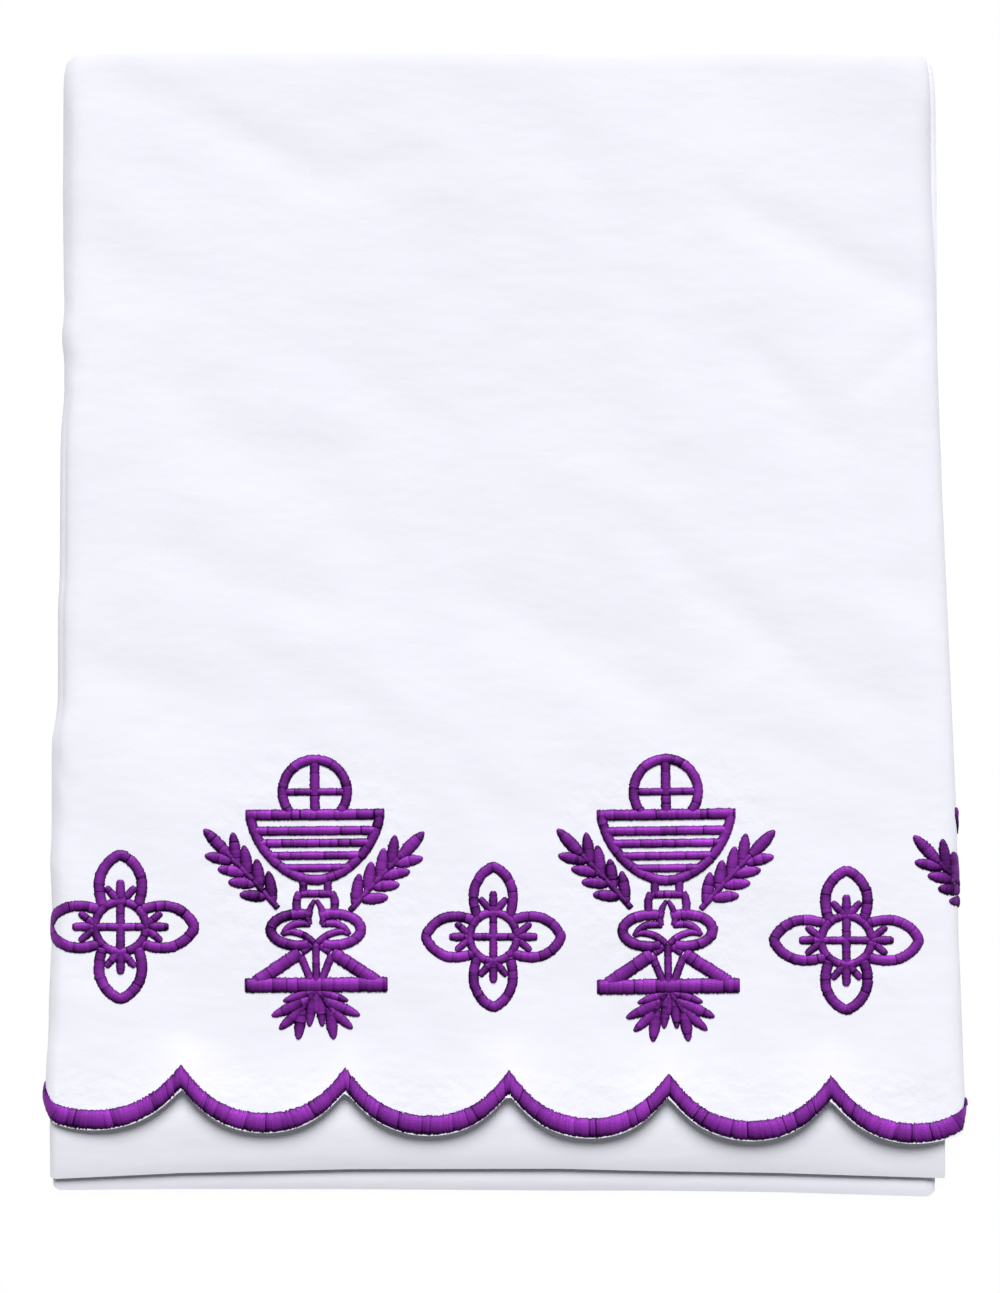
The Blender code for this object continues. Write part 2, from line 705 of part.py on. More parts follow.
def main():
    for thing in list(bpy.data.objects):
        bpy.data.objects.remove(thing)
    make_cloth()
    make_edging()
    make_motifs()
    centre_on_base()
    print_flat_size()


main()
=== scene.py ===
# %% [markdown]
# # An altar cloth, folded into a flat packet
#
# One length of smooth white cloth lies folded on a white table, seen from straight above. Its
# scalloped hem is bound with a border of purple satin stitch. Above the border stand chalices with
# a round host, leaf sprigs on both sides of them, and quatrefoil crosses between.
#
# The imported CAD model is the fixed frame. The thin cloth made here lies on the same folds as the
# CAD solid, and every stitch lies on that cloth, so one function that places a point serves all.

# %% Tools and frame
import math

import bpy
import numpy as np
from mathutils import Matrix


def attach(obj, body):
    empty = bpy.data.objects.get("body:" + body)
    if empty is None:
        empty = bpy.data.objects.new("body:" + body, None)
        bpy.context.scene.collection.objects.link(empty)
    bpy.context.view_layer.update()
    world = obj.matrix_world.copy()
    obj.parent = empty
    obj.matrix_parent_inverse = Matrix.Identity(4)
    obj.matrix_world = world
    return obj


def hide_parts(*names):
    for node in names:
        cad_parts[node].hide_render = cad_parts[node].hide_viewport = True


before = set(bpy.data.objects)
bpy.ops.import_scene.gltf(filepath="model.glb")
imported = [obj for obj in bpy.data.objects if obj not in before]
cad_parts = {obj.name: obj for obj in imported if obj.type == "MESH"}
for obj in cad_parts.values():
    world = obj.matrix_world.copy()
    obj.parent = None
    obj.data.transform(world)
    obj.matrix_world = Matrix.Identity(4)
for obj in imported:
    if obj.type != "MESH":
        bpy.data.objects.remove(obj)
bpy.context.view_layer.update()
rng = np.random.default_rng(11)
print("CAD nodes:", len(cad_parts))

# %% [markdown]
# ## The stack of layers
#
# The real cloth is first folded in half across its width, with the embroidered half on top, and the
# pair is then folded lengthwise into four panels: `under` lies on the table, `front` is on top, and
# `second` and `third` lie inside. All lengths here are millimetres. Each layer has a millimetre of
# room in the stack, and the cloth fills the outer half of it. Names that end in Z are the heights
# of a pair's middle.

# %% Sizes of the stack
ROOM = 1.0
STEP = 1.5
HALF_PAIR = 0.75
THICK = 0.5
UNDER_Z = 1.25
THIRD_Z = UNDER_Z + 2 * STEP
SECOND_Z = UNDER_Z + 4 * STEP
FRONT_Z = UNDER_Z + 6 * STEP
LEFT_RADIUS = (FRONT_Z - UNDER_Z) / 2
RIGHT_RADIUS = (FRONT_Z - SECOND_Z) / 2
INNER_RADIUS = (SECOND_Z - THIRD_Z) / 2
FOLD_LENGTH = {
    "left": math.pi * (LEFT_RADIUS + HALF_PAIR),
    "right": math.pi * (RIGHT_RADIUS + HALF_PAIR),
    "inner": math.pi * (INNER_RADIUS - HALF_PAIR),
}
SKIN = HALF_PAIR + ROOM / 2
FAR_EDGE = 250.6
HALF_WIDTH = 200.0
SHIFT = np.array((-0.117, -0.005, 0.0))
print("top of the cloth at", FRONT_Z + SKIN, "mm")

# %% [markdown]
# ## Where the folds run
#
# A folded packet is never a clean rectangle. Its sides widen towards the hem, because the hem hangs
# looser than the far edge, and they bulge where the layers slipped. Each table gives how far a side
# reaches from the middle, read down from the far edge: first the embroidered half, then the plain
# half behind it, then the two cut ends. FAR_OUT says how far the far edge bows out.

# %% Reach of the side folds
LEFT_REACH = (
    (0, 193.7), (8, 195.3), (60, 195.8), (100, 195.3), (108, 194.8), (116, 195.3), (124, 196.3),
    (133, 194.9), (151, 195.1), (160, 196.1), (170, 196.7), (232, 197.1), (240, 197.9),
    (286, 198.0), (294, 199.3), (301, 200.7), (345, 200.7), (354, 201.4), (365, 200.8),
    (381, 200.2), (397, 201.0), (415, 201.8), (432, 202.0), (442, 202.8), (458, 203.5),
    (480, 204.3),
)
RIGHT_REACH = (
    (0, 185.4), (8, 186.6), (19, 187.1), (60, 187.6), (90, 189.2), (108, 190.0), (124, 190.2),
    (142, 190.7), (160, 191.3), (177, 192.0), (195, 192.6), (230, 194.2), (265, 195.7),
    (300, 197.3), (336, 198.9), (362, 199.4), (389, 199.6), (397, 200.2), (424, 201.2),
    (450, 202.1), (480, 203.8),
)
BACK_LEFT = ((0, 192.1), (190, 192.0), (352, 197.0), (450, 200.4), (466, 201.8), (503, 201.9))
BACK_RIGHT = (
    (0, 182.9), (19, 183.0), (190, 186.4), (352, 190.0), (450, 192.0), (470, 194.1), (503, 194.3),
)
THIRD_END = (
    (0, 187.5), (8, 189.2), (19, 189.8), (60, 190.4), (130, 190.6), (480, 190.0), (503, 189.3),
)
UNDER_END = ((0, 185.0), (19, 186.2), (60, 187.0), (480, 188.0), (503, 187.0))
FAR_OUT = (
    (-196.5, 1.4), (-188.3, 1.5), (-184.8, 1.9), (-181.3, 2.4), (-141.0, 3.1), (-112.0, 3.1),
    (-84.0, 2.8), (-27.0, 2.7), (2.0, 2.3), (116.0, 2.3), (145.0, 2.0), (173.0, 1.6),
    (184.4, 1.5), (187.0, 0.0), (189.0, -2.0),
)


def ease(share):
    """Smooth step from 0 to 1."""
    return np.sin(np.pi * np.clip(share, 0.0, 1.0) / 2) ** 2


def read(table, spot, soft=3.0):
    """Read a table of (place, value) rows, with its corners eased over a few millimetres."""
    places, values = zip(*table)
    eased = [np.interp(spot + soft * part, places, values) for part in (-1.0, -0.5, 0.0, 0.5, 1.0)]
    return sum(eased) / len(eased)


def left_fold(down, leaf):
    """Centre line of the big left fold; leaf is 1 on the embroidered half, 0 on the plain half."""
    front = read(LEFT_REACH, down) - LEFT_RADIUS - SKIN
    back = read(BACK_LEFT, down) - LEFT_RADIUS + HALF_PAIR - ROOM / 2
    return -(back * (1 - leaf) + front * leaf)


def right_fold(down, leaf):
    """Centre line of the right fold."""
    front = read(RIGHT_REACH, down) - RIGHT_RADIUS - SKIN
    back = read(BACK_RIGHT, down) - RIGHT_RADIUS + HALF_PAIR - ROOM / 2
    return back * (1 - leaf) + front * leaf


print("width at the hem:", round(float(read(LEFT_REACH, 470) + read(RIGHT_REACH, 470)), 1), "mm")

# %% [markdown]
# ## Hollows and ridges
#
# Pressed cloth keeps soft hollows where the layers below end or shift. Each one is given as a line
# with two ends, a width and a height. Light from the far side makes the far slope of a hollow dark
# and its near slope bright. A few short, narrow ones are the creases at the left fold.
# The stack also sinks at its sides, where the folds are pressed. Each is a share of the height, so
# the layers below follow the top one and never cross it.

# %% Soft form of the stack
SOFT_FORMS = (
    (-165, 14, -91, 45, 9.0, -0.9), (-82, 54, -38, 45, 8.0, -0.6), (103, 66, 187, 108, 9.0, -1.2),
    (160, 142, 192, 117, 6.0, -0.7), (107, 129, 130, 151, 8.0, -0.6),
    (125, 164, 160, 173, 4.0, -0.35), (142, 230, 180, 236, 4.0, -0.4),
    (125, 274, 165, 283, 5.0, -0.4), (116, 300, 172, 324, 7.0, -0.5),
    (-143, 221, -91, 239, 10.0, -0.8), (-180, 268, -146, 279, 9.0, -0.6),
    (-104, 265, -55, 292, 10.0, -0.8), (6, 248, 68, 283, 14.0, -1.1),
    (-29, 300, -3, 336, 9.0, -0.6), (59, 208, 112, 248, 8.0, -0.7),
    (85, 239, 130, 266, 7.0, -0.6), (-121, 32, -95, 50, 7.0, -0.4),
    (-55, 151, -29, 164, 9.0, -0.5), (-180, 24, -181, 250, 8.0, 0.35),
    (20, 180, 66, 196, 12.0, 0.5), (-150, 120, -90, 150, 16.0, 0.5),
    (-194, 131, -188, 139, 1.8, -0.9), (-200, 304, -192, 324, 2.2, -0.9),
    (-199, 333, -194, 340, 2.6, -0.5), (-196, 399, -180, 404, 6.0, -0.4),
    (110, 352, 128, 440, 9.0, -0.35), (-45, 420, -20, 446, 9.0, -0.35),
    (168, 420, 182, 458, 8.0, -0.4), (-140, 430, -116, 446, 8.0, -0.35),
    (24, 330, 44, 420, 10.0, -0.3),
)
SOFTNESS = 0.55
END_FADE = 1.5
MOTTLE = (
    (88.0, -0.8, 0.14, 0.0), (57.0, -1.2, 0.08, 2.1), (40.0, -0.5, 0.05, 4.0),
    (119.0, 2.2, 0.12, 1.0),
)
MOTTLE_BEND = 0.9
RISE = 0.05
RISE_END = 290.0
RISE_FADE = 60.0
RISE_WAVE = 300.0
SIDE_WIDTH = (11.0, 12.0)
SIDE_POWER = (2.2, 2.5)
SINK_SOFT = 8.0
LEFT_SINK = (
    (0, 0.24), (15, 0.34), (41, 0.66), (85, 0.58), (112, 0.36), (135, 0.34), (160, 0.50),
    (195, 0.42), (261, 0.56), (310, 0.66), (345, 0.46), (371, 0.36), (415, 0.40), (442, 0.24),
    (480, 0.25),
)
RIGHT_SINK = (
    (0, 0.24), (20, 0.28), (41, 0.50), (120, 0.50), (195, 0.42), (310, 0.42), (415, 0.42),
    (442, 0.50), (480, 0.36),
)


def soft_form(x, down):
    """How far the top of the stack stands above its flat height."""
    total = np.zeros(np.broadcast(x, down).shape)
    for x0, d0, x1, d1, width, height in SOFT_FORMS:
        length = math.hypot(x1 - x0, d1 - d0)
        along = ((x - x0) * (x1 - x0) + (down - d0) * (d1 - d0)) / length
        across = ((x - x0) * (d1 - d0) - (down - d0) * (x1 - x0)) / length
        beyond = np.maximum(0.0, np.maximum(-along, along - length))
        mark = np.exp(-(across / width) ** 2 - (beyond / (END_FADE * width)) ** 2)
        total = total + SOFTNESS * height * mark
    bend = MOTTLE_BEND * np.sin(x / 37.0 - down / 53.0)
    for wave, angle, height, phase in MOTTLE:
        turn = (x * math.cos(angle) + down * math.sin(angle)) * math.tau / wave
        total = total + height * np.sin(turn + phase + bend)
    return total


def swell(x, down):
    """Share by which the whole stack swells at a place."""
    fade = ease((RISE_END - down) / RISE_FADE)
    broad = RISE * fade * np.cos(math.tau * (x - down / 2) / RISE_WAVE)
    from_left = np.clip(1.0 - (x + read(LEFT_REACH, down)) / SIDE_WIDTH[0], 0.0, 1.0)
    from_right = np.clip(1.0 - (read(RIGHT_REACH, down) - x) / SIDE_WIDTH[1], 0.0, 1.0)
    left = read(LEFT_SINK, down, SINK_SOFT) * from_left ** SIDE_POWER[0]
    right = read(RIGHT_SINK, down, SINK_SOFT) * from_right ** SIDE_POWER[1]
    return broad - left - right + soft_form(x, down) / (FRONT_Z + SKIN)


print("hollows and ridges laid by hand:", len(SOFT_FORMS))

# %% [markdown]
# ## One point of the cloth
#
# `place` follows the cloth along its path through the folds. The left fold has a shallow groove
# between 160 and 300 mm down, where the outer layer slipped over the inner one and shows as a
# second line. Beyond the scalloped hem nothing fills the plain halves of the upper panels, so they
# droop, and the plain hem rolls down. The cut end of `third`, beyond the right fold, is pinched,
# rolled and drawn up, with a seam beside it. BACK_HEM holds places across the packet, and how far
# down the plain hem lies there in each layer.

# %% Point of the cloth
BACK_HEM = (
    (-200.6, 494.6, 494.2, 499.8, 493.7),
    (-192.0, 494.2, 493.0, 499.7, 493.6),
    (-143.4, 491.9, 491.6, 499.3, 492.0),
    (-68.6, 490.2, 489.8, 499.4, 491.0),
    (23.8, 490.0, 489.8, 500.0, 491.0),
    (63.4, 491.0, 490.6, 500.0, 491.0),
    (120.6, 491.9, 491.2, 500.7, 491.5),
    (192.3, 494.2, 493.2, 502.8, 492.5),
)
HEM_COLUMN = {"front": 1, "left": 1, "right": 1, "second": 2, "third": 3, "inner": 3, "under": 4}
GROOVE = ((150, 0.0), (172, 0.85), (285, 0.85), (306, 0.0))
GROOVE_SHARE = 0.79
GROOVE_WIDTH = 0.055
INNER_BACK = 1.0
INNER_OUT = 0.6
INNER_OUT_START = 484.0
INNER_OUT_LENGTH = 12.0
INNER_DRAWN = 5.6
CUT_READ = 495.0
CUT_END = 3.4
CUT_DRAWN = 2.6
CUT_ROLL = 1.7
PINCH = 0.75
PINCH_WIDTH = 0.9
SEAM = 0.45
SEAM_IN = 3.0
SEAM_WIDTH = 0.8
DROOP = 3.2
DROOP_START = 464.0
DROOP_LENGTH = 33.0
STILL_Z = 3.5
LOOSE_OVER = 4.5
SIDE_EASE = 0.45
ROLL_LENGTH = 8.0
ROLL = {
    "under": (0.0, 0.0), "left": (0.0, 0.9), "front": (0.9, 0.9), "right": (0.9, 0.9),
    "second": (0.9, 0.9), "inner": (1.64, 1.5), "third": (1.5, 1.5),
}
LEVELS = {
    "under": (UNDER_Z, -1), "front": (FRONT_Z, 1), "second": (SECOND_Z, -1), "third": (THIRD_Z, 1),
}


def groove(share, down):
    """Depth of the groove round the left fold."""
    return read(GROOVE, down) * np.exp(-((share - GROOVE_SHARE) / GROOVE_WIDTH) ** 2)


def inner_fold(down):
    """Centre line of the inner left fold, set back a little inside the outer one."""
    out = INNER_OUT * ease((down - INNER_OUT_START) / INNER_OUT_LENGTH)
    return left_fold(down, 0.0) + INNER_BACK - out


def panel_ends(section, down, leaf):
    """Where a panel starts and ends across the packet, along the cloth's path."""
    if section == "under":
        return read(UNDER_END, down), left_fold(down, leaf)
    if section == "front":
        return left_fold(down, leaf), right_fold(down, leaf)
    if section == "second":
        return right_fold(down, leaf), inner_fold(down)
    return inner_fold(down), read(THIRD_END, down)


def droop(section, down, leaf):
    """How far an upper panel's plain half sinks beyond the scalloped hem."""
    if section in ("under", "third"):
        return 0.0
    return (1 - leaf) * DROOP * ease((down - DROOP_START) / DROOP_LENGTH)


def near_cut(off_end):
    """From 0 to 1 over the last millimetres before the cut end of `third`."""
    return np.clip(1.0 - off_end / CUT_END, 0.0, 1.0) ** 2


def plain_hem(section, x, share):
    """Plain hem of the back leaf, drawn up a little round the folds and at the cut end."""
    places = [row[0] for row in BACK_HEM]
    hem = np.interp(x, places, [row[HEM_COLUMN[section]] for row in BACK_HEM])
    if section == "inner":
        hem = hem - INNER_DRAWN * (1.0 - share)
    if section in ("left", "right"):
        hem = hem - np.sin(np.pi * share) ** 4
    if section == "third":
        hem = hem - CUT_DRAWN * near_cut(read(THIRD_END, CUT_READ) - x)
    return hem


def roll(section, share, down, x):
    """How far the plain hem rolls down, less near the sides on the inside panel."""
    start, end = ROLL[section]
    near = np.clip((down - plain_hem(section, x, share)) / ROLL_LENGTH + 1.0, 0.0, 1.0)
    steep = 1.0
    if section in ("inner", "third"):
        steep = 1.0 - SIDE_EASE * np.clip(x / HALF_WIDTH, -1.0, 1.0) ** 2
    return (start * (1 - share) + end * share) * near**2 * steep


def place(section, share, down, height, leaf):
    """Points of the cloth: share of the way through a section, height off the pair's middle."""
    turn = np.pi * share
    if section == "left":
        radius = LEFT_RADIUS + height - groove(share, down)
        x = left_fold(down, leaf) - radius * np.sin(turn)
        z = (UNDER_Z + FRONT_Z) / 2 - radius * np.cos(turn)
    elif section == "right":
        radius = RIGHT_RADIUS + height
        x = right_fold(down, leaf) + radius * np.sin(turn)
        z = (FRONT_Z + SECOND_Z) / 2 + radius * np.cos(turn)
    elif section == "inner":
        radius = INNER_RADIUS - height
        x = inner_fold(down) - radius * np.sin(turn)
        z = (SECOND_Z + THIRD_Z) / 2 + radius * np.cos(turn)
    else:
        start, end = panel_ends(section, down, leaf)
        x = start * (1 - share) + end * share
        level, way = LEVELS[section]
        if section == "third":
            off_end = end - x
            height = height * (1 - PINCH * np.exp(-(off_end / PINCH_WIDTH) ** 2))
            height = height - SEAM * np.exp(-((off_end - SEAM_IN) / SEAM_WIDTH) ** 2)
            height = height - CUT_ROLL * near_cut(off_end)
        z = level + way * height
    z = z - droop(section, down, leaf) * np.clip((z - STILL_Z) / LOOSE_OVER, 0.0, 1.0)
    z = z - (1 - leaf) * roll(section, share, down, x)
    return np.stack(np.broadcast_arrays(x, FAR_EDGE - down, z * (1 + swell(x, down))), -1)


print("plain hem at the middle:", round(float(plain_hem("front", 0.0, 0.5)), 1), "mm down")

# %% [markdown]
# ## The scalloped hem
#
# Each scallop is an arc between two cusps. The border's outer and inner lines are arcs of their
# own, so the border is widest at the cusps. The hem of the front leaf stands a little off the
# layer below, most at the cusps and least at the middle of each scallop, and so casts the soft
# shadow below it. It is drawn up where it goes round the side folds, and its white margin is
# widest near the right one. CUSPS lists places along the hem, and CUSP_NUMBERS counts them, with
# many even scallops before the first and after the last one that shows.

# %% Hem lines
SCALLOP = 71.4
CUSPS = (
    -1427.0, -364.0, -294.2, -222.5, -142.9, -70.7, 1.4, 71.6, 143.1, 215.4, 286.8, 358.2, 1429.2,
)
CUSP_NUMBERS = (-20, *range(-5, 6), 20)
HEM_DOWN = 474.8
HEM_SLOPE = 0.0165
HEM_MARGIN = 0.7
WIDE_MARGIN = 1.6
WIDE_PLACE = 203.0
WIDE_LENGTH = 7.0
BORDER = 7.7
OUTER_DEPTH = 18.9
INNER_DEPTH = 20.7
LEFT_RISE = 6.5
RIGHT_RISE = 12.0
LIFT_START = 428.0
LIFT_CUSP = 3.1
LIFT_DIP = 2.0
LIFT_TAPER = 30.0
LIFT_POWER = 1.5


def scallop_place(run):
    """Place within a scallop, from minus a half at one cusp to a half at the next."""
    phase = np.interp(run, CUSPS, CUSP_NUMBERS)
    return phase - np.floor(phase) - 0.5


def arc_drop(run, depth):
    """How far a scallop's arc lies below its cusps; it runs straighter into them than a circle."""
    offset = scallop_place(run) * SCALLOP
    radius = (SCALLOP * SCALLOP / 4 + depth * depth) / (2 * depth)
    circle = np.sqrt(radius * radius - offset * offset) - (radius - depth)
    share = (2 * offset / SCALLOP) ** 2
    return circle * (1 - share * share) + depth * (1 - share) * share * share


def fold_rise(run):
    """How far the hem is drawn up where it goes round the side folds."""
    left = (float(left_fold(HEM_DOWN, 1.0)) - run) / FOLD_LENGTH["left"]
    right = (run - float(right_fold(HEM_DOWN, 1.0))) / FOLD_LENGTH["right"]
    rises = ((LEFT_RISE, left), (RIGHT_RISE, right))
    return sum(rise * np.sin(np.pi * np.clip(share, 0.0, 1.0)) ** 2 for rise, share in rises)


def hem_line(run, inset):
    """Scalloped line down from the far edge: inset 0 is the border's outer line, 1 its inner."""
    slope = HEM_SLOPE * np.clip(run, -HALF_WIDTH, HALF_WIDTH)
    trough = HEM_DOWN + slope - BORDER * inset - fold_rise(run)
    depth = OUTER_DEPTH * (1 - inset) + INNER_DEPTH * inset
    return trough - depth + arc_drop(run, depth)


def cut_line(run):
    """The cut edge of the scalloped hem."""
    wide = WIDE_MARGIN * np.exp(-((run - WIDE_PLACE) / WIDE_LENGTH) ** 2)
    return hem_line(run, 0.0) + HEM_MARGIN + wide


def hem_lift(run, down):
    """How far the front panel's hem stands off the layer below."""
    wave = (1 + np.cos(math.tau * scallop_place(run))) / 2
    inside = np.minimum(run - left_fold(down, 1.0), right_fold(down, 1.0) - run)
    near = np.clip((down - LIFT_START) / (cut_line(run) - LIFT_START), 0.0, 1.1)
    return (LIFT_CUSP - LIFT_DIP * wave) * ease(inside / LIFT_TAPER) * near**LIFT_POWER


def on_front(run, down, height):
    """Points on the front leaf's outer side, round its side folds too."""
    left = left_fold(down, 1.0)
    right = right_fold(down, 1.0)
    off = SKIN + height
    left_share = 1 - np.clip((left - run) / FOLD_LENGTH["left"], 0, 1)
    right_share = np.clip((run - right) / FOLD_LENGTH["right"], 0, 1)
    spots = place("front", (run - left) / (right - left), down, off, 1.0)
    spots = np.where((run < left)[..., None], place("left", left_share, down, off, 1.0), spots)
    spots = np.where((run > right)[..., None], place("right", right_share, down, off, 1.0), spots)
    spots[..., 2] += hem_lift(run, down)
    return spots


middle = on_front(*np.array([[0.0], [200.0], [0.0]]))[0]
print("a point of the top, in mm:", np.round(middle, 2))

# %% [markdown]
# ## The sheet
#
# The cloth is one closed thin sheet: a grid of columns along the folded path and rows from the
# scalloped hem, over the far edge, to the plain hem of the back leaf. The grid is finest on the
# front panel and round the folds, close at the hems and the cut end, and coarse on the hidden
# panels. The far edge drops a little at the folds, as a packet's corners do.

# %% Columns and rows of the sheet
PER_SCALLOP = {"under": 8, "front": 28, "second": 8, "third": 8}
FOLD_STEPS = {"left": 26, "right": 14, "inner": 8}
CUT_COLUMNS = np.array((4.6, 3.8, 3.0, 2.2, 1.2, 0.5, 0.0))
CUT_COLUMNS_FROM = 7.0
CORNER_DROP = {"left": 3.2, "right": 1.5, "inner": 6.0}
TURN_STEPS = 8
HEM_ROWS = 15
HEM_CLOSENESS = 1.25
BODY_ROWS = 80
FAR_ROW = 24.0
BACK_ROWS = np.append(np.linspace(FAR_ROW, 448.0, 21)[1:], (456, 462, 466, 470, 475, 480))
LAST_ROWS = np.array([[0.3, 0.55, 0.75, 0.9]])


def list_sections():
    """Each section with the shares and runs of its columns; run is zero at the middle."""
    sections = []
    lengths = {}
    for section in ("under", "front", "second", "third"):
        start, end = panel_ends(section, HEM_DOWN, 1.0)
        lengths[section] = float(abs(end - start))
    lengths.update(FOLD_LENGTH)
    run = float(left_fold(HEM_DOWN, 1.0)) - lengths["under"] - lengths["left"]
    for section in ("under", "left", "front", "right", "second", "inner", "third"):
        length = lengths[section]
        if section in FOLD_STEPS:
            shares = np.arange(FOLD_STEPS[section]) / FOLD_STEPS[section]
        else:
            pitch = SCALLOP / PER_SCALLOP[section]
            first = math.ceil((run + pitch / 3) / pitch)
            last = math.floor((run + length - pitch / 3) / pitch)
            shares = np.append(0.0, (np.arange(first, last + 1) * pitch - run) / length)
        if section == "third":
            regular = shares[shares < 1.0 - CUT_COLUMNS_FROM / length]
            shares = np.append(regular, 1.0 - CUT_COLUMNS / length)
        sections.append((section, shares, run + shares * length))
        run += length
    return sections


def far_drop(section, share):
    """How far the far edge drops at a fold, where the packet's corners are rounded."""
    if section in CORNER_DROP:
        return CORNER_DROP[section] * np.sin(np.pi * share) ** 2
    return 0.0 * share


def list_rows(section, shares, runs):
    """Rows of a section's columns as (down, leaf, turn), each an array of columns by rows."""
    ones = np.ones((len(shares), 1))
    hem = cut_line(runs)[:, None]
    across = place(section, shares, np.full(len(shares), 12.0), 0.0, 0.5)[:, 0]
    edge = (far_drop(section, shares) + SKIN - read(FAR_OUT, across, 1.0))[:, None]
    near = np.linspace(0.0, 1.0, HEM_ROWS)[None, :] ** HEM_CLOSENESS
    front = hem * (1 - near) + LIFT_START * near
    body = ones * np.linspace(LIFT_START, FAR_ROW, BODY_ROWS)[None, 1:]
    top = FAR_ROW + (edge - FAR_ROW) * np.linspace(0.0, 1.0, 5)[None, 1:-1]
    turn = np.pi * np.arange(TURN_STEPS + 1) / TURN_STEPS
    over = ones * edge * np.ones(TURN_STEPS + 1)
    back_top = edge + (FAR_ROW - edge) * np.linspace(0.0, 1.0, 4)[None, 1:]
    back = ones * BACK_ROWS[None, :]
    x = place(section, shares, np.full(len(shares), 490.0), -HALF_PAIR, 0.0)[:, 0]
    last = plain_hem(section, x, shares)[:, None]
    before = BACK_ROWS[-1] + (last - BACK_ROWS[-1]) * LAST_ROWS
    down = np.hstack([front, body, top, over, back_top, back, before, last])
    front_count = front.shape[1] + body.shape[1] + top.shape[1]
    back_count = down.shape[1] - front_count - TURN_STEPS - 1
    turns = np.concatenate([np.zeros(front_count), turn, np.full(back_count, np.pi)])
    leaves = np.concatenate([np.ones(front_count), 1 - turn / np.pi, np.zeros(back_count)])
    return down, ones * leaves, ones * turns


def sheet_skin(off):
    """One side of the cloth as a grid of points, at a distance off the pair's middle."""
    columns = []
    for section, shares, runs in list_sections():
        down, leaf, turn = list_rows(section, shares, runs)
        down = down - off * np.sin(turn)
        points = place(section, shares[:, None], down, off * np.cos(turn), leaf)
        if section == "front":
            lift = hem_lift(runs[:, None] + 0 * down, down)
            points[..., 2] += np.where(turn == 0, lift, 0.0)
        columns.append(points)
    return np.concatenate(columns)


outer = sheet_skin(SKIN)
inner = sheet_skin(SKIN - THICK)
print("sheet grid:", outer.shape[0], "columns by", outer.shape[1], "rows")

# %% [markdown]
# ## Closing the sheet
#
# The two sides are joined along all four edges. Those rim edges are marked sharp, so that the
# shading of the flat sides stays clean right up to the cut. A value named `pucker` marks the cloth
# near the embroidery, where the stitches draw it in.

# %% Mesh of the cloth
PUCKER_SPOTS = (
    (-83.8, 356.0, 62.0), (70.6, 356.0, 62.0), (-83.8, 390.0, 44.0), (70.6, 390.0, 44.0),
    (-170.1, 383.0, 38.0), (-5.2, 387.0, 38.0), (149.8, 388.5, 38.0), (205.0, 352.0, 34.0),
)
PUCKER_FADE = 22.0
HEM_PUCKER = 440.0
HEM_PUCKER_FADE = 12.0


def new_mesh_object(name, points, faces):
    """Object from points in millimetres of the packet, moved into the frame."""
    mesh = bpy.data.meshes.new(name)
    mesh.from_pydata(((points + SHIFT) * 0.001).tolist(), [], faces)
    mesh.polygons.foreach_set("use_smooth", [True] * len(mesh.polygons))
    thing = bpy.data.objects.new(name, mesh)
    bpy.context.scene.collection.objects.link(thing)
    return thing


def add_values(thing, name, values):
    """Store one value for each point of a mesh, for its material to read."""
    layer = thing.data.attributes.new(name, "FLOAT", "POINT")
    layer.data.foreach_set("value", np.asarray(values, np.float32))


def make_sheet():
    """The folded cloth as one closed mesh."""
    across, rows = outer.shape[:2]
    count = across * rows
    index = np.arange(count).reshape(across, rows)
    corners = [index[:-1, :-1], index[1:, :-1], index[1:, 1:], index[:-1, 1:]]
    top = np.stack(corners, -1).reshape(-1, 4)
    under = top[:, ::-1] + count
    ring = np.concatenate([index[:, 0], index[-1, 1:], index[-2::-1, -1], index[0, -2:0:-1]])
    after = np.roll(ring, -1)
    rim = np.stack([after, ring, ring + count, after + count], -1)
    faces = np.concatenate([top, under, rim]).tolist()
    thing = new_mesh_object("folded_cloth", np.concatenate([outer, inner]).reshape(-1, 3), faces)
    on_ring = np.zeros(2 * count, bool)
    on_ring[ring] = True
    on_ring[ring + count] = True
    ends = np.zeros(len(thing.data.edges) * 2, int)
    thing.data.edges.foreach_get("vertices", ends)
    ends = ends.reshape(-1, 2)
    sharp = on_ring[ends].all(1) & (abs(ends[:, 0] - ends[:, 1]) != count)
    thing.data.edges.foreach_set("use_edge_sharp", sharp)
    return thing


cloth = make_sheet()
spots = np.concatenate([outer, inner]).reshape(-1, 3)
pucker = np.zeros(len(spots))
for spot_x, spot_down, reach in PUCKER_SPOTS:
    away = np.hypot(spots[:, 0] - spot_x, FAR_EDGE - spots[:, 1] - spot_down)
    pucker = np.maximum(pucker, np.clip((reach - away) / PUCKER_FADE, 0.0, 1.0))
past_hem = (FAR_EDGE - spots[:, 1] - HEM_PUCKER) / HEM_PUCKER_FADE
pucker = np.maximum(pucker, np.clip(past_hem, 0.0, 1.0))
pucker = np.where(spots[:, 2] > FRONT_Z, pucker, 0.0)
add_values(cloth, "pucker", pucker)
print("cloth:", len(cloth.data.polygons), "faces")

# %% [markdown]
# ## Shader arithmetic
#
# A finish is mostly arithmetic on patterns. This small class wraps one output of a shader node, so
# that plus, minus and times on it add the math nodes. `node` adds any other kind, and `feed` links
# an output to the shader.

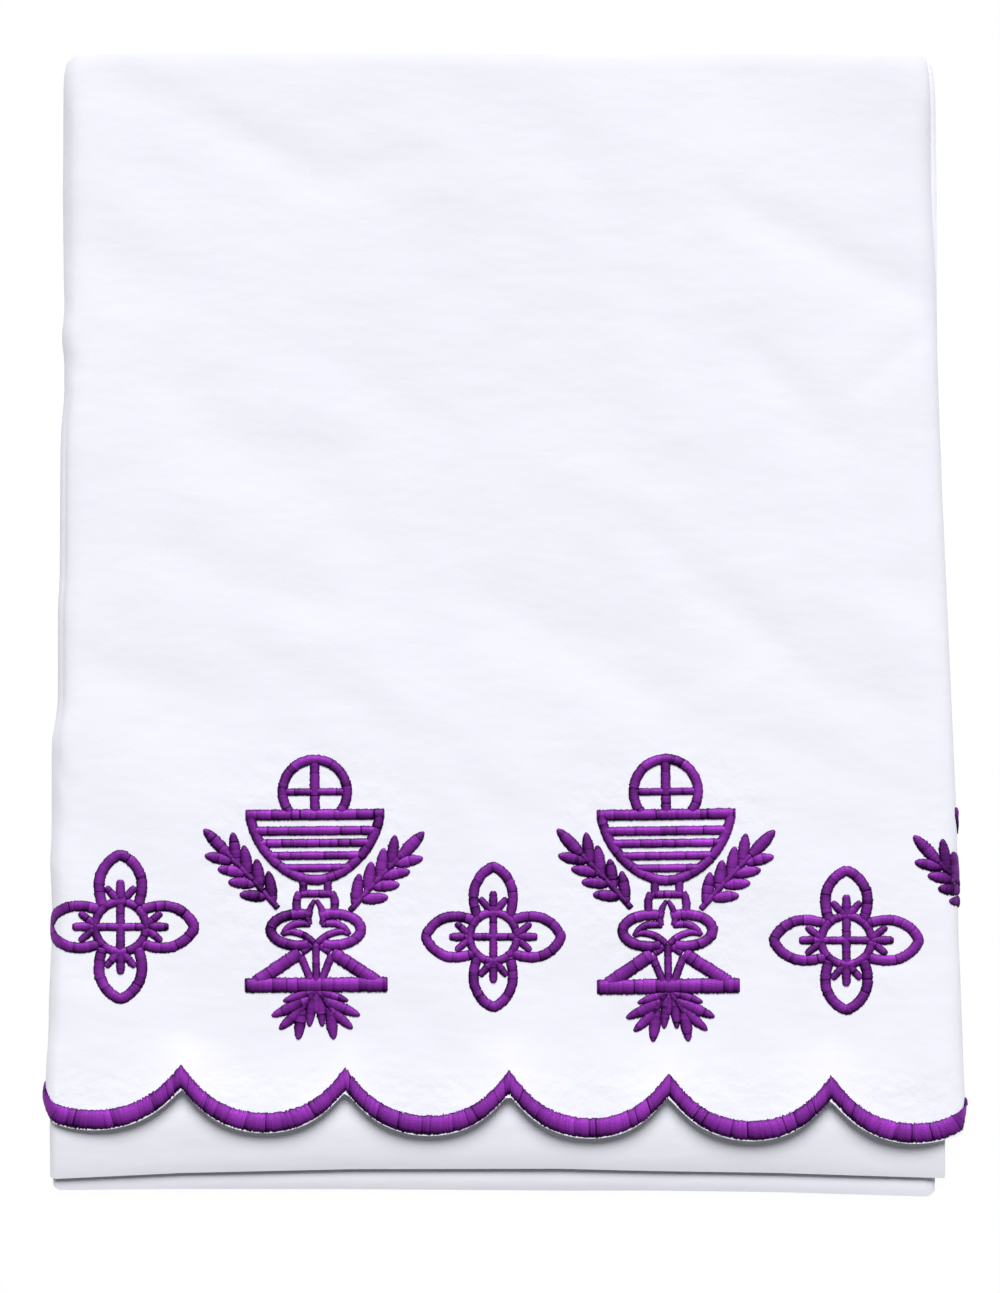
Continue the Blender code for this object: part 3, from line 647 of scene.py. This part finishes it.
# %% Shader sockets
class Wire:
    """An output of a shader node."""

    def __init__(self, tree, socket=None):
        self.tree = tree
        self.socket = socket

    def node(self, kind, inputs=None, output=0, **settings):
        """Add a node with settings by name and inputs by name or number, and wrap an output."""
        node = self.tree.nodes.new(kind)
        for name, value in settings.items():
            setattr(node, name, value)
        for name, value in (inputs or {}).items():
            if isinstance(value, Wire):
                self.tree.links.new(value.socket, node.inputs[name])
            else:
                node.inputs[name].default_value = value
        return Wire(self.tree, node.outputs[output])

    def feed(self, shader, name):
        """Link this output to an input of a shader."""
        self.tree.links.new(self.socket, shader.inputs[name])

    def math(self, operation, first, second):
        return self.node("ShaderNodeMath", {0: first, 1: second}, operation=operation)

    def __add__(self, other):
        return self.math("ADD", self, other)

    __radd__ = __add__

    def __mul__(self, other):
        return self.math("MULTIPLY", self, other)

    __rmul__ = __mul__

    def __sub__(self, other):
        return self.math("SUBTRACT", self, other)

    def __rsub__(self, other):
        return self.math("SUBTRACT", other, self)


def new_material(name):
    """Material with its shader, and an empty wire to start patterns from."""
    material = bpy.data.materials.new(name)
    material.use_nodes = True
    tree = material.node_tree
    return material, tree.nodes["Principled BSDF"], Wire(tree)


def set_values(shader, values):
    """Set inputs that are the same all over a piece."""
    for name, value in values.items():
        shader.inputs[name].default_value = value


def noise(start, vector, scale, detail=2.0):
    """Soft noise around zero, from minus a half to a half."""
    sockets = {"Vector": vector, "Scale": scale, "Detail": detail}
    return start.node("ShaderNodeTexNoise", sockets) - 0.5


def mix_colour(share, low, high):
    """Blend of two colours, which are the Mix node's inputs 6 and 7."""
    sockets = {0: share, 6: (*low, 1.0), 7: (*high, 1.0)}
    return share.node("ShaderNodeMix", sockets, output=2, data_type="RGBA")


print("shader helpers are ready")

# %% [markdown]
# ## White cloth
#
# A fine, close cotton weave, slightly blue-white as bleached cloth is. From a step away the weave
# only takes the shine off. Near the stitches the cloth is puckered. Slanting clouds in the bump
# are its faintest creases.

# %% White cloth
LOW_WHITE = (0.852, 0.853, 0.930)
HIGH_WHITE = (0.880, 0.881, 0.955)
TONE_CLOUDS = 14.0
WEAVE = 1500.0
CREASES = 32.0
FINE_CREASES = 95.0
PUCKERS = 120.0
white_cloth, shader, start = new_material("white_cloth")
spot = start.node("ShaderNodeTexCoord", output="Object")
cloudy = noise(start, spot, TONE_CLOUDS)
mix_colour(cloudy + 0.5, LOW_WHITE, HIGH_WHITE).feed(shader, "Base Color")
grain = noise(start, spot, WEAVE, 1.0)
(grain * 0.16 + 0.68).feed(shader, "Roughness")
drawn = start.node("ShaderNodeAttribute", output="Fac", attribute_name="pucker")
slope = {"Vector": spot, "Rotation": (0.0, 0.0, math.radians(40.0)), "Scale": (0.45, 1.0, 1.0)}
slanted = start.node("ShaderNodeMapping", slope)
creases = noise(start, slanted, CREASES, 3.0) * 1.2
creases = creases + noise(start, slanted, FINE_CREASES, 3.0) * 0.2
form = grain * 0.05 + noise(start, spot, PUCKERS, 3.0) * drawn * 0.9 + creases
bump = start.node("ShaderNodeBump", {"Strength": 0.6, "Distance": 0.001, "Height": form})
bump.feed(shader, "Normal")
set_values(shader, {"Specular IOR Level": 0.2, "Sheen Weight": 0.05})
cloth.data.materials.append(white_cloth)
print("cloth finish:", len(start.tree.nodes), "nodes")

# %% [markdown]
# ## Satin stitch
#
# A satin column is a row of close parallel threads laid across a line. Seen from above it is a
# domed ribbon with slightly ragged edges. Here each band is such a ribbon: a section for every half
# thread, threads standing a little higher than the gaps between them. Machine stitching changes its
# slant every few millimetres, which shows as a fine dark line and another tone, so every stretch
# of a band gets a tone of its own. The dark line is painted shade in a slight groove. The tone also
# carries painted shade along both edges of a ribbon, and painted light on the side of a band that
# faces the light, with painted shade on its other side.

# %% Bands of stitches
HALF_THREAD = 0.25
LIT_SIDE = np.array((0.45, 0.89))
FULLNESS = 0.55
ACROSS = np.array((-1.0, -0.98, -0.84, -0.48, 0.0, 0.48, 0.84, 0.98, 1.0))
DOME = np.array((-0.14, 0.22, 0.58, 0.89, 1.0, 0.89, 0.58, 0.22, -0.14))
# Painted shade: the tone darkens towards both edges of a ribbon.
EDGE_SHADE = np.array((-0.75, -0.55, -0.2, 0.05, 0.1, 0.05, -0.2, -0.55, -0.75))
CURVE_STEPS = 16
FIRST_STRETCH = (0.5, 5.0)
NEXT_STRETCH = (3.0, 12.0)
STRETCH_GAIN = 0.12
STRETCH_DIP = 0.4
DIP_LENGTH = 0.9
CRACK_HALF = 0.3
RAGGED = 0.045
THREAD_TONE = 0.05
# Painted light and shade: the side of a band that faces LIT_SIDE is made lighter, the other side
# darker.
SIDE_LIGHT_AND_SHADE = 0.26
# Painted shade: each crack between two stretches is made darker.
CRACK_SHADE = 0.45


def smooth_line(points, widths, closed):
    """Even points along a curve through the given ones, and the widths there."""
    points = np.asarray(points, float)
    count = len(points)
    widths = np.broadcast_to(np.asarray(widths, float), (count,))
    if closed:
        points = np.vstack([points[-1], points, points[:2]])
        widths = np.concatenate([widths[-1:], widths, widths[:2]])
    else:
        points = np.vstack([2 * points[0] - points[1], points, 2 * points[-1] - points[-2]])
        widths = np.concatenate([widths[:1], widths, widths[-1:]])
    fine = []
    fine_widths = []
    for i in range(1, len(points) - 2):
        a, b, c, d = points[i - 1:i + 3]
        t = np.linspace(0.0, 1.0, CURVE_STEPS + 1)[:-1, None]
        square = 2 * a - 5 * b + 4 * c - d
        cube = 3 * b - a - 3 * c + d
        fine.append(0.5 * (2 * b + (c - a) * t + square * t**2 + cube * t**3))
        fine_widths.append(widths[i] + (widths[i + 1] - widths[i]) * t[:, 0])
    fine.append(points[-2][None, :])
    fine_widths.append(widths[-2:-1])
    fine = np.vstack(fine)
    fine_widths = np.concatenate(fine_widths)
    walked = np.concatenate([[0.0], np.cumsum(np.hypot(*np.diff(fine, axis=0).T))])
    count = max(4, int(round(walked[-1] / HALF_THREAD)) + 1)
    steps = np.linspace(0.0, walked[-1], count)
    line = np.stack([np.interp(steps, walked, fine[:, axis]) for axis in (0, 1)], -1)
    return line, np.interp(steps, walked, fine_widths), steps


def stretches(steps, base):
    """Tone along a band: a level for every stretch between two steps of the stitching."""
    tone = np.zeros(len(steps))
    crack = np.zeros(len(steps))
    at = rng.uniform(*FIRST_STRETCH)
    level = base + rng.normal(0.0, 0.07)
    start_at = 0.0
    while start_at < steps[-1]:
        inside = (steps >= start_at) & (steps < at)
        since = steps[inside] - start_at
        gain = STRETCH_GAIN * since / max(1.0, at - start_at)
        dip = rng.uniform(0.0, STRETCH_DIP) * np.exp(-since / DIP_LENGTH)
        tone[inside] = level + gain - dip
        crack[np.abs(steps - at) < CRACK_HALF] = rng.uniform(0.0, 1.0) ** 2
        start_at = at
        at = at + rng.uniform(*NEXT_STRETCH)
        level = base + rng.normal(0.0, 0.08)
    return tone, crack


def ribbon(left_side, right_side, steps, base, height, over=0.0, ends=(0.8, 0.8)):
    """Domed ribbon of stitches between two lines of (x, up); returns points, faces and tones."""
    count = len(steps)
    tone, crack = stretches(steps, base)
    thread = np.arange(count) // 2
    ragged = rng.normal(0.0, RAGGED, (thread[-1] + 1, 2))[thread]
    reach = 1.0 + ragged - 0.03 * crack[:, None]
    middle_line = (left_side + right_side) / 2
    width = np.hypot(*(left_side - right_side).T)
    half = (left_side - right_side) / 2
    near_start = np.clip((steps + 0.06) / ends[0], 0.0, 1.0)
    near_end = np.clip((steps[-1] - steps + 0.06) / ends[1], 0.0, 1.0)
    blunt = np.sqrt(near_start * near_end)
    ridge = np.where(np.arange(count) % 2 == 0, 1.0, 0.95) * (1 - 0.12 * crack)
    tall = np.minimum(height, 0.45 * width) * blunt * ridge
    spread = np.where(ACROSS[None, :] > 0, reach[:, :1], reach[:, 1:]) * ACROSS[None, :]
    spread = spread * (0.75 + 0.25 * blunt[:, None])
    flat = middle_line[:, None, :] + half[:, None, :] * spread[..., None]
    lift = np.where(DOME[None, :] < 0, DOME[None, :], over + DOME[None, :] * tall[:, None])
    points = np.concatenate([flat, lift[..., None]], -1)
    thread_tone = rng.normal(0.0, THREAD_TONE, (thread[-1] + 1,))[thread]
    # Painted shade darkens the cracks and both edges; painted light makes the side facing LIT_SIDE
    # lighter and the other side darker.
    tones = tone[:, None] - CRACK_SHADE * crack[:, None] + thread_tone[:, None]
    facing = (half @ LIT_SIDE) / np.maximum(0.1, np.hypot(*half.T))
    tones = tones + EDGE_SHADE[None, :] + SIDE_LIGHT_AND_SHADE * facing[:, None] * ACROSS[None, :]
    index = np.arange(count * len(ACROSS)).reshape(count, len(ACROSS))
    beside = np.roll(index, -1, axis=1)
    sides = np.stack([index[:-1], index[1:], beside[1:], beside[:-1]], -1).reshape(-1, 4).tolist()
    caps = [index[0].tolist(), index[-1, ::-1].tolist()]
    return points.reshape(-1, 3), sides + caps, tones.reshape(-1)


def band(points, widths, base=0.0, height=1.3, over=0.0, closed=False, ends=(0.8, 0.8), stop=None):
    """Ribbon of stitches along a line, cut off beyond a stop across the motif."""
    line, width, steps = smooth_line(points, widths, closed)
    width = width + FULLNESS
    if stop is not None:
        keep = line[:, 0] < stop
        if keep.sum() < 4:
            return None
        line, width, steps = line[keep], width[keep], steps[: keep.sum()]
    along = np.gradient(line, axis=0)
    along /= np.hypot(*along.T)[:, None]
    side = np.stack([-along[:, 1], along[:, 0]], -1) * width[:, None] / 2
    return ribbon(line + side, line - side, steps, base, height, over, ends)


print("satin bands: one section every", HALF_THREAD, "mm")

# %% [markdown]
# ## Laying stitches on the cloth
#
# A motif is worked out flat, from the middle of its own foot, and is then laid on the front leaf.
# Whatever lies beyond a side fold goes round it with the cloth.

# %% Laying and joining bands
LEAF_SHARES = (0.0, 0.12, 0.35, 0.65, 0.88, 1.0)
LEAF_WIDTHS = (0.5, 0.8, 1.05, 0.98)
LEAF_INSIDE = 0.07


def lay(ribbons, name, across, down, stretch=(1.0, 1.0), lean=0.0):
    """Join the ribbons of one motif into an object that lies on the cloth."""
    ribbons = [item for item in ribbons if item is not None]
    points = []
    faces = []
    tones = []
    base = 0
    for spots_flat, ribbon_faces, ribbon_tones in ribbons:
        points.append(spots_flat)
        faces += [[corner + base for corner in face] for face in ribbon_faces]
        tones.append(ribbon_tones)
        base += len(spots_flat)
    points = np.vstack(points)
    run = across + points[:, 0] * stretch[0] + lean * points[:, 1]
    laid = on_front(run, down - points[:, 1] * stretch[1] + lean * points[:, 0], points[:, 2])
    thing = new_mesh_object(name, laid, faces)
    add_values(thing, "tone", np.concatenate(tones))
    return thing


def mirrored(points, widths, light, height=1.0, over=0.0, level=0.0):
    """A band and its mirror image, left one first; `light` paints the right one lighter, the left
    darker.
    """
    made = []
    for way in (-1, 1):
        line = [(way * x, y) for x, y in points]
        made.append(band(line, widths, level + light * way, height, over))
    return made


def arc(centre, radii, start_angle, end_angle, count):
    """Points along an ellipse between two angles in degrees."""
    angles = np.radians(np.linspace(start_angle, end_angle, count + 1))
    across, up = radii
    return [(centre[0] + across * math.cos(a), centre[1] + up * math.sin(a)) for a in angles]


def between(root, tip, share):
    """Point part of the way from one point to another."""
    return root[0] + (tip[0] - root[0]) * share, root[1] + (tip[1] - root[1]) * share


def leaf(root, tip, width, base=0.0, stop=None, blunt=0.12):
    """Leaf of satin stitch from its root, a little inside its stem, to its tip."""
    root = between(root, tip, -LEAF_INSIDE)
    widths = [width * share for share in (*LEAF_WIDTHS, 0.5 + 0.7 * blunt, blunt)]
    line = [between(root, tip, share) for share in LEAF_SHARES]
    return band(line, widths, base, 1.0, stop=stop, ends=(0.6, 0.4))


print("leaf stitches:", len(leaf((0, 0), (0, 12), 4.0)[0]), "points")

# %% [markdown]
# ## Scalloped border
#
# The border is worked right over the hem, so its outer line keeps only a thread or two of white
# cloth beyond it. Its stitches stand square to the arc and turn upright towards each cusp, where
# two arcs meet in a point.

# %% Scalloped border
BORDER_ENDS = (0.72, 0.8)
BORDER_LEAN = 0.15
BORDER_SLANT = 1.1
BORDER_OUT = 0.25
BORDER_IN = 0.6
FINE_POINTS = 6000


def make_border():
    """Border from low on the left fold to low on the right one."""
    start_run = float(left_fold(HEM_DOWN, 1.0)) - BORDER_ENDS[0] * FOLD_LENGTH["left"]
    end_run = float(right_fold(HEM_DOWN, 1.0)) + BORDER_ENDS[1] * FOLD_LENGTH["right"]
    run = np.linspace(start_run, end_run, FINE_POINTS)
    down = hem_line(run, 0.0)
    walked = np.concatenate([[0.0], np.cumsum(np.hypot(np.diff(run), np.diff(down)))])
    steps = np.linspace(0.0, walked[-1], int(walked[-1] / HALF_THREAD))
    run = np.interp(steps, walked, run)
    offset = scallop_place(run)
    off_cusp = 1 - np.abs(2 * offset) ** 6
    lean = BORDER_LEAN * offset * off_cusp
    slant = BORDER_SLANT * np.sin(run / 9.0 + 2.0 * np.sin(run / 23.0)) * off_cusp
    inner_run = run - lean * SCALLOP + slant
    outside = np.stack([run, -hem_line(run, 0.0) - BORDER_OUT], -1)
    inside = np.stack([inner_run, -hem_line(inner_run, 1.0) + BORDER_IN], -1)
    strip = ribbon(inside, outside, steps, 0.05, 1.2, ends=(1.0, 1.0))
    return lay([strip], "satin_border", 0.0, 0.0)


border = make_border()
print("border:", len(border.data.polygons), "faces")

# %% [markdown]
# ## Chalice
#
# The chalice is drawn with columns only: a round host with a cross in it, a cup with four bars, a
# knop of a lily between two lobes, a stepped foot and a spray of leaves below it.

# %% Chalice
CUP_RIM = 80.2
CUP_HALF = 30.6
CUP_DEPTH = 33.0
CUP_POWER = 1.8
CUP_SHARES = (0.06, 0.15, 0.25, 0.35, 0.45, 0.54, 0.62, 0.7, 0.77, 0.83, 0.88, 0.915, 0.935)
COLUMN = 4.0
HOST_UP = 88.0
HOST_RADIUS = 14.2
CUP_BARS = ((9.3, 3.6), (14.7, 3.3), (20.2, 3.2), (25.6, 3.1))
LOBE = ((7.6, 27.4), (12.2, 6.9))
FOOT_HEIGHT = 6.2
FOOT_HALF = 31.5
SPRAY = (
    ((1.5, 0.2), (14.4, -4.0), 3.3), ((3.2, -3.6), (19.5, -10.5), 4.5),
    ((5.6, -7.4), (16.2, -16.3), 4.0), ((6.0, -7.6), (7.9, -21.0), 4.6),
    ((1.6, -2.0), (2.9, -15.4), 3.8),
)


def cup_half(depth):
    """Half width of the cup's middle line at a depth below its rim."""
    share = min(1.0, depth / (CUP_DEPTH - COLUMN / 2))
    return (CUP_HALF - COLUMN / 2) * (1 - share**CUP_POWER) ** (1 / CUP_POWER)


def cup_line():
    """Middle line of the cup from rim to rim."""
    left = [(-cup_half(CUP_DEPTH * t), CUP_RIM - CUP_DEPTH * t) for t in CUP_SHARES]
    return left + [(-x, y) for x, y in reversed(left)]


def chalice(spray_shift):
    """All bands of the chalice, in the order they are stitched."""
    made = [
        band([(-HOST_RADIUS + 1, HOST_UP), (HOST_RADIUS - 1, HOST_UP)], 2.8, -0.05, 1.0),
        band([(0, CUP_RIM - 2), (0, HOST_UP + HOST_RADIUS)], 3.9, 0.0, 1.1),
        band(arc((0, HOST_UP), (HOST_RADIUS, HOST_RADIUS), -40, 220, 26), COLUMN, 0.0),
    ]
    # Painted sheen: the cup bars, the foot and the long diagonals get a lighter base tone (0.08),
    # as threads laid this way catch more light.
    for depth, width in CUP_BARS:
        half = cup_half(depth)
        made.append(band([(-half, CUP_RIM - depth), (half, CUP_RIM - depth)], width, 0.08, 1.25))
    made.append(band(cup_line(), COLUMN, 0.0))
    rim = [(-CUP_HALF, CUP_RIM - 2.2), (CUP_HALF, CUP_RIM - 2.2)]
    made.append(band(rim, COLUMN + 0.4, 0.0, 1.3, 0.05))
    made += mirrored([(5.4, 51.5), (5.4, 43.5)], 3.2, 0.1)
    side_lobe = [(6.7, 43.8), (7.9, 41.8), (8.4, 39.0), (8.0, 35.4), (6.8, 33.0)]
    made += mirrored(side_lobe, 3.3, 0.08)
    made.append(band([(-7.0, 43.2), (7.0, 43.2)], 3.0, 0.0, 1.0, 0.05))
    made += mirrored(arc(*LOBE, 120, -113, 20), 4.3, 0.1, 1.2)
    lily = [(0.3, 40.6), (1.9, 37.8), (3.1, 34.8), (3.2, 31.8), (2.5, 29.6)]
    made += mirrored(lily, [1.2, 2.1, 2.6, 2.5, 2.2], 0.05, over=0.1)
    upper_curl = [(2.2, 29.8), (8.4, 30.0), (12.4, 28.2), (15.2, 25.2)]
    made += mirrored(upper_curl, [2.4, 3.0, 2.6, 1.2], 0.05)
    lower_curl = [(15.0, 25.2), (11.5, 26.4), (8.0, 26.0), (4.2, 24.4), (0.4, 21.4)]
    made += mirrored(lower_curl, [1.2, 2.4, 2.8, 2.8, 2.6], 0.05)
    made += mirrored([(1.6, 20.6), (6.4, 17.4)], 3.0, 0.05, 0.9)
    made += mirrored([(6.9, 17.4), (26.8, 4.2)], 5.6, 0.0, 1.2, level=0.08)
    made += mirrored([(7.0, 16.6), (1.6, 3.0)], 3.1, 0.05, over=0.05)
    made.append(band([(0.0, 21.5), (0.0, 3.0)], 2.9, 0.0, 1.1, 0.15))
    foot = [(-FOOT_HALF, FOOT_HEIGHT / 2), (FOOT_HALF, FOOT_HEIGHT / 2)]
    made.append(band(foot, FOOT_HEIGHT, 0.08, 1.4, 0.05))
    made.append(leaf((0.0, 0.0), (0.0, -9.6), 3.2))
    for root, tip, width in SPRAY:
        for way in (-1, 1):
            near = (way * root[0] + spray_shift, root[1])
            made.append(leaf(near, (way * tip[0] + spray_shift, tip[1]), width))
    made += mirrored([(0.5, 0.5), (7.0, -9.0)], 1.8, 0.0, 0.9, 0.25, level=-0.2)
    return made


CHALICE_DOWN = 411.0
chalice_left = lay(chalice(-0.3), "satin_chalice_left", -83.5, CHALICE_DOWN + 0.6, lean=-0.0075)
chalice_right = lay(
    chalice(0.7), "satin_chalice_right", 71.5, CHALICE_DOWN + 1.3, (1.0, 1.01), -0.0135
)
print("chalice:", len(chalice_left.data.polygons), "faces")

# %% [markdown]
# ## Leaf sprigs
#
# A stem runs up and out beside each cup, with leaves on both of its sides. Right-hand sprigs catch
# more light on their threads than left-hand ones. A third chalice starts at the right fold: its
# left sprig and the edge of its cup show there and go round the fold.

# %% Leaf sprigs
SPRIG_LEAVES = (
    ((38.6, 60.6), (48.9, 71.4), 5.0),
    ((34.4, 56.6), (36.2, 70.0), 4.6), ((29.6, 51.4), (31.3, 64.3), 4.8),
    ((24.2, 46.0), (25.8, 58.3), 4.9), ((18.6, 39.8), (20.5, 53.0), 4.7),
    ((36.9, 57.4), (48.5, 59.9), 4.6), ((31.2, 52.1), (42.8, 54.0), 4.6),
    ((27.2, 47.3), (38.2, 48.2), 4.6), ((22.3, 41.6), (33.2, 42.7), 4.6),
)
THIRD_CHALICE = 228.3
THIRD_SPRIG_DOWN = 414.3
FOLD_PART = 0.62


def sprig(way, stop=None):
    """Leaves and stem of one sprig."""
    # Painted light: a right-hand sprig gets a lighter base tone and a left-hand one a darker base
    # tone.
    base = 0.10 * way
    made = []
    for root, tip, width in SPRIG_LEAVES:
        made.append(leaf((way * root[0], root[1]), (way * tip[0], tip[1]), width, base, stop=stop))
    stem = [(way * 16.2, 36.6), (way * 27.5, 49.2), (way * 39.6, 61.6)]
    made.append(band(stem, 2.3, base - 0.1, 0.9, 0.15, stop=stop))
    return made


sprigs = []
SPRIGS = ((-84.1, 411.4, -1), (-85.0, 412.6, 1), (71.4, 411.4, -1), (69.4, 411.9, 1))
for number, (across, down, way) in enumerate(SPRIGS, 1):
    sprigs.append(lay(sprig(way), f"satin_sprig_{number}", across, down))
fold_stop = float(right_fold(CHALICE_DOWN, 1.0)) + FOLD_PART * FOLD_LENGTH["right"] - THIRD_CHALICE
sprigs.append(lay(sprig(-1, fold_stop), "satin_sprig_5", THIRD_CHALICE, THIRD_SPRIG_DOWN))
third_rim = [(-CUP_HALF, CUP_RIM - 2), (CUP_HALF, CUP_RIM - 2)]
cup_edge = [
    band(third_rim, COLUMN, 0.0, 1.1, 0.05, stop=fold_stop),
    band(cup_line()[:len(CUP_SHARES)], COLUMN, 0.0, 1.1, stop=fold_stop),
]
third_cup = lay(cup_edge, "satin_third_cup", THIRD_CHALICE, CHALICE_DOWN)
print("sprigs:", len(sprigs))

# %% [markdown]
# ## Quatrefoil crosses
#
# A ring with a cross in it stands between four petals, and a small sprig of three leaves fills each
# petal. The first cross goes round the left fold with one of its petals.

# %% Quatrefoil crosses
FLOWERS = (
    (-169.7, 383.0, (1.07, 1.045)), (-5.6, 387.4, (0.98, 1.017)), (149.8, 388.9, (1.05, 1.01)),
)
RING = 10.5
RIGHT_PETAL = [(7.3, 8.6), (8.7, 15.0), (8.4, 21.0), (5.9, 26.0), (2.7, 29.0), (0.0, 30.2)]
PETAL = RIGHT_PETAL + [(-x, y) for x, y in reversed(RIGHT_PETAL[:-1])]
PETAL_LEAVES = (
    ((0.0, 10.4), (0.0, 19.9), 3.4), ((0.9, 10.8), (6.1, 16.9), 2.9),
    ((-0.9, 10.8), (-6.1, 16.9), 2.9),
)


def turned(point, angle):
    """A point turned round the middle of its motif."""
    x = point[0] * math.cos(angle) - point[1] * math.sin(angle)
    return x, point[0] * math.sin(angle) + point[1] * math.cos(angle)


def flower():
    """All bands of one quatrefoil cross."""
    made = [band([(0, -RING), (0, RING)], 3.2, 0.0, 0.95)]
    made.append(band([(-RING, 0), (RING, 0)], 2.9, 0.0, 0.95))
    for quarter in range(4):
        angle = math.radians(90 * quarter)
        made.append(band([turned(point, angle) for point in PETAL], 4.1, 0.0, 1.0))
        for root, tip, width in PETAL_LEAVES:
            made.append(leaf(turned(root, angle), turned(tip, angle), width, -0.05, blunt=0.5))
    made.append(band(arc((0, 0), (RING, RING), 0, 350, 35), 3.2, 0.0, 1.0, 0.05, closed=True))
    return made


flowers = [
    lay(flower(), f"satin_cross_{number}", across, down, stretch)
    for number, (across, down, stretch) in enumerate(FLOWERS, 1)
]
print("cross:", len(flowers[0].data.polygons), "faces")

# %% [markdown]
# ## Purple thread
#
# Rayon embroidery thread is smooth and glossy. The tone stored with each stretch of stitches, which
# also carries the painted light and shade of the satin bands, picks between a deep and a lilac
# purple, and fine noise stands for single fibres.

# %% Purple thread
DEEP_PURPLE = (0.014, 0.0, 0.03)
LILAC = (0.352, 0.044, 0.515)
FIBRES = 2200.0
purple_thread, shader, start = new_material("purple_thread")
spot = start.node("ShaderNodeTexCoord", output="Object")
tone = start.node("ShaderNodeAttribute", output="Fac", attribute_name="tone")
fibre = noise(start, spot, FIBRES)
share = start.node("ShaderNodeClamp", {"Value": tone + fibre * 0.25 + 0.38})
mix_colour(share, DEEP_PURPLE, LILAC).feed(shader, "Base Color")
(0.45 - fibre * 0.25).feed(shader, "Roughness")
bump = start.node("ShaderNodeBump", {"Strength": 0.6, "Distance": 0.0003, "Height": fibre})
bump.feed(shader, "Normal")
set_values(shader, {"Metallic": 0.32, "Specular IOR Level": 0.3})
set_values(shader, {"Specular Tint": (0.85, 0.42, 1.0, 1.0)})
stitched = [border, chalice_left, chalice_right, *sprigs, third_cup, *flowers]
for thing in stitched:
    thing.data.materials.append(purple_thread)
print("stitched pieces:", len(stitched))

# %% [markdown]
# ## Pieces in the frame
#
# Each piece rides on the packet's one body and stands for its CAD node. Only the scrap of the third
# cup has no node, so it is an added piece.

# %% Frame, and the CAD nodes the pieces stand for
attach(cloth, "root")
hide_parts("altar_cloth")
stands_for = {border: "scallop_edging"}
stands_for.update({chalice_left: "chalice_left", chalice_right: "chalice_right"})
stands_for.update({thing: f"sprig_{number}" for number, thing in enumerate(sprigs, 1)})
stands_for.update({thing: f"cross_flower_{number}" for number, thing in enumerate(flowers, 1)})
for thing in stitched:
    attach(thing, "root")
    if thing in stands_for:
        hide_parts(stands_for[thing])
print("pieces that stand for a CAD node:", len(stands_for) + 1)

# %% [markdown]
# ## Table, light and camera
#
# The photograph was taken from straight above on a white table, with a broad soft light from the
# far side and a little from the right, so that everything facing the near side is a little grey.
# The table comes out even white there, so this one is nearly black and gives off its own white.

# %% Table
bpy.ops.object.select_all(action="DESELECT")
bpy.ops.mesh.primitive_plane_add(size=40.0, location=(0.0, 0.0, -0.0002))
table = bpy.context.object
table.name = "table"
table_white, shader, start = new_material("table_white")
set_values(shader, {"Base Color": (0.02, 0.02, 0.02, 1.0), "Roughness": 0.9})
set_values(shader, {"Specular IOR Level": 0.0, "Emission Strength": 0.98})
set_values(shader, {"Emission Color": (1.0, 1.0, 1.0, 1.0)})
table.data.materials.append(table_white)
print("table at", round(table.location.z * 1000, 1), "mm")

# %% Light
bpy.ops.object.light_add(type="SUN", location=(0.06, 1.43, 1.40))
far_light = bpy.context.object
far_light.name = "far_light"
far_light.data.angle = math.radians(36.0)
far_light.data.energy = 3.98
aim = -far_light.location
far_light.rotation_euler = aim.to_track_quat("-Z", "Y").to_euler()
world = bpy.data.worlds.new("soft_room")
bpy.context.scene.world = world
world.use_nodes = True
room = world.node_tree.nodes["Background"]
set_values(room, {"Color": (0.98, 0.985, 1.0, 1.0), "Strength": 0.15})
print("light energy:", far_light.data.energy)

# %% Camera
LENS = 150.0
SENSOR = 36.0
VIEW_HEIGHT = 0.56892
VIEW_LEVEL = 0.012
camera_data = bpy.data.cameras.new("camera")
camera = bpy.data.objects.new("camera", camera_data)
bpy.context.scene.collection.objects.link(camera)
camera_data.sensor_fit = "VERTICAL"
camera_data.sensor_height = SENSOR
camera_data.lens = LENS
camera.location = (-0.00276, -0.00902, VIEW_LEVEL + VIEW_HEIGHT * LENS / SENSOR)
bpy.context.scene.camera = camera
bpy.context.scene.view_settings.view_transform = "Standard"
print("camera height:", round(camera.location.z, 3), "m")
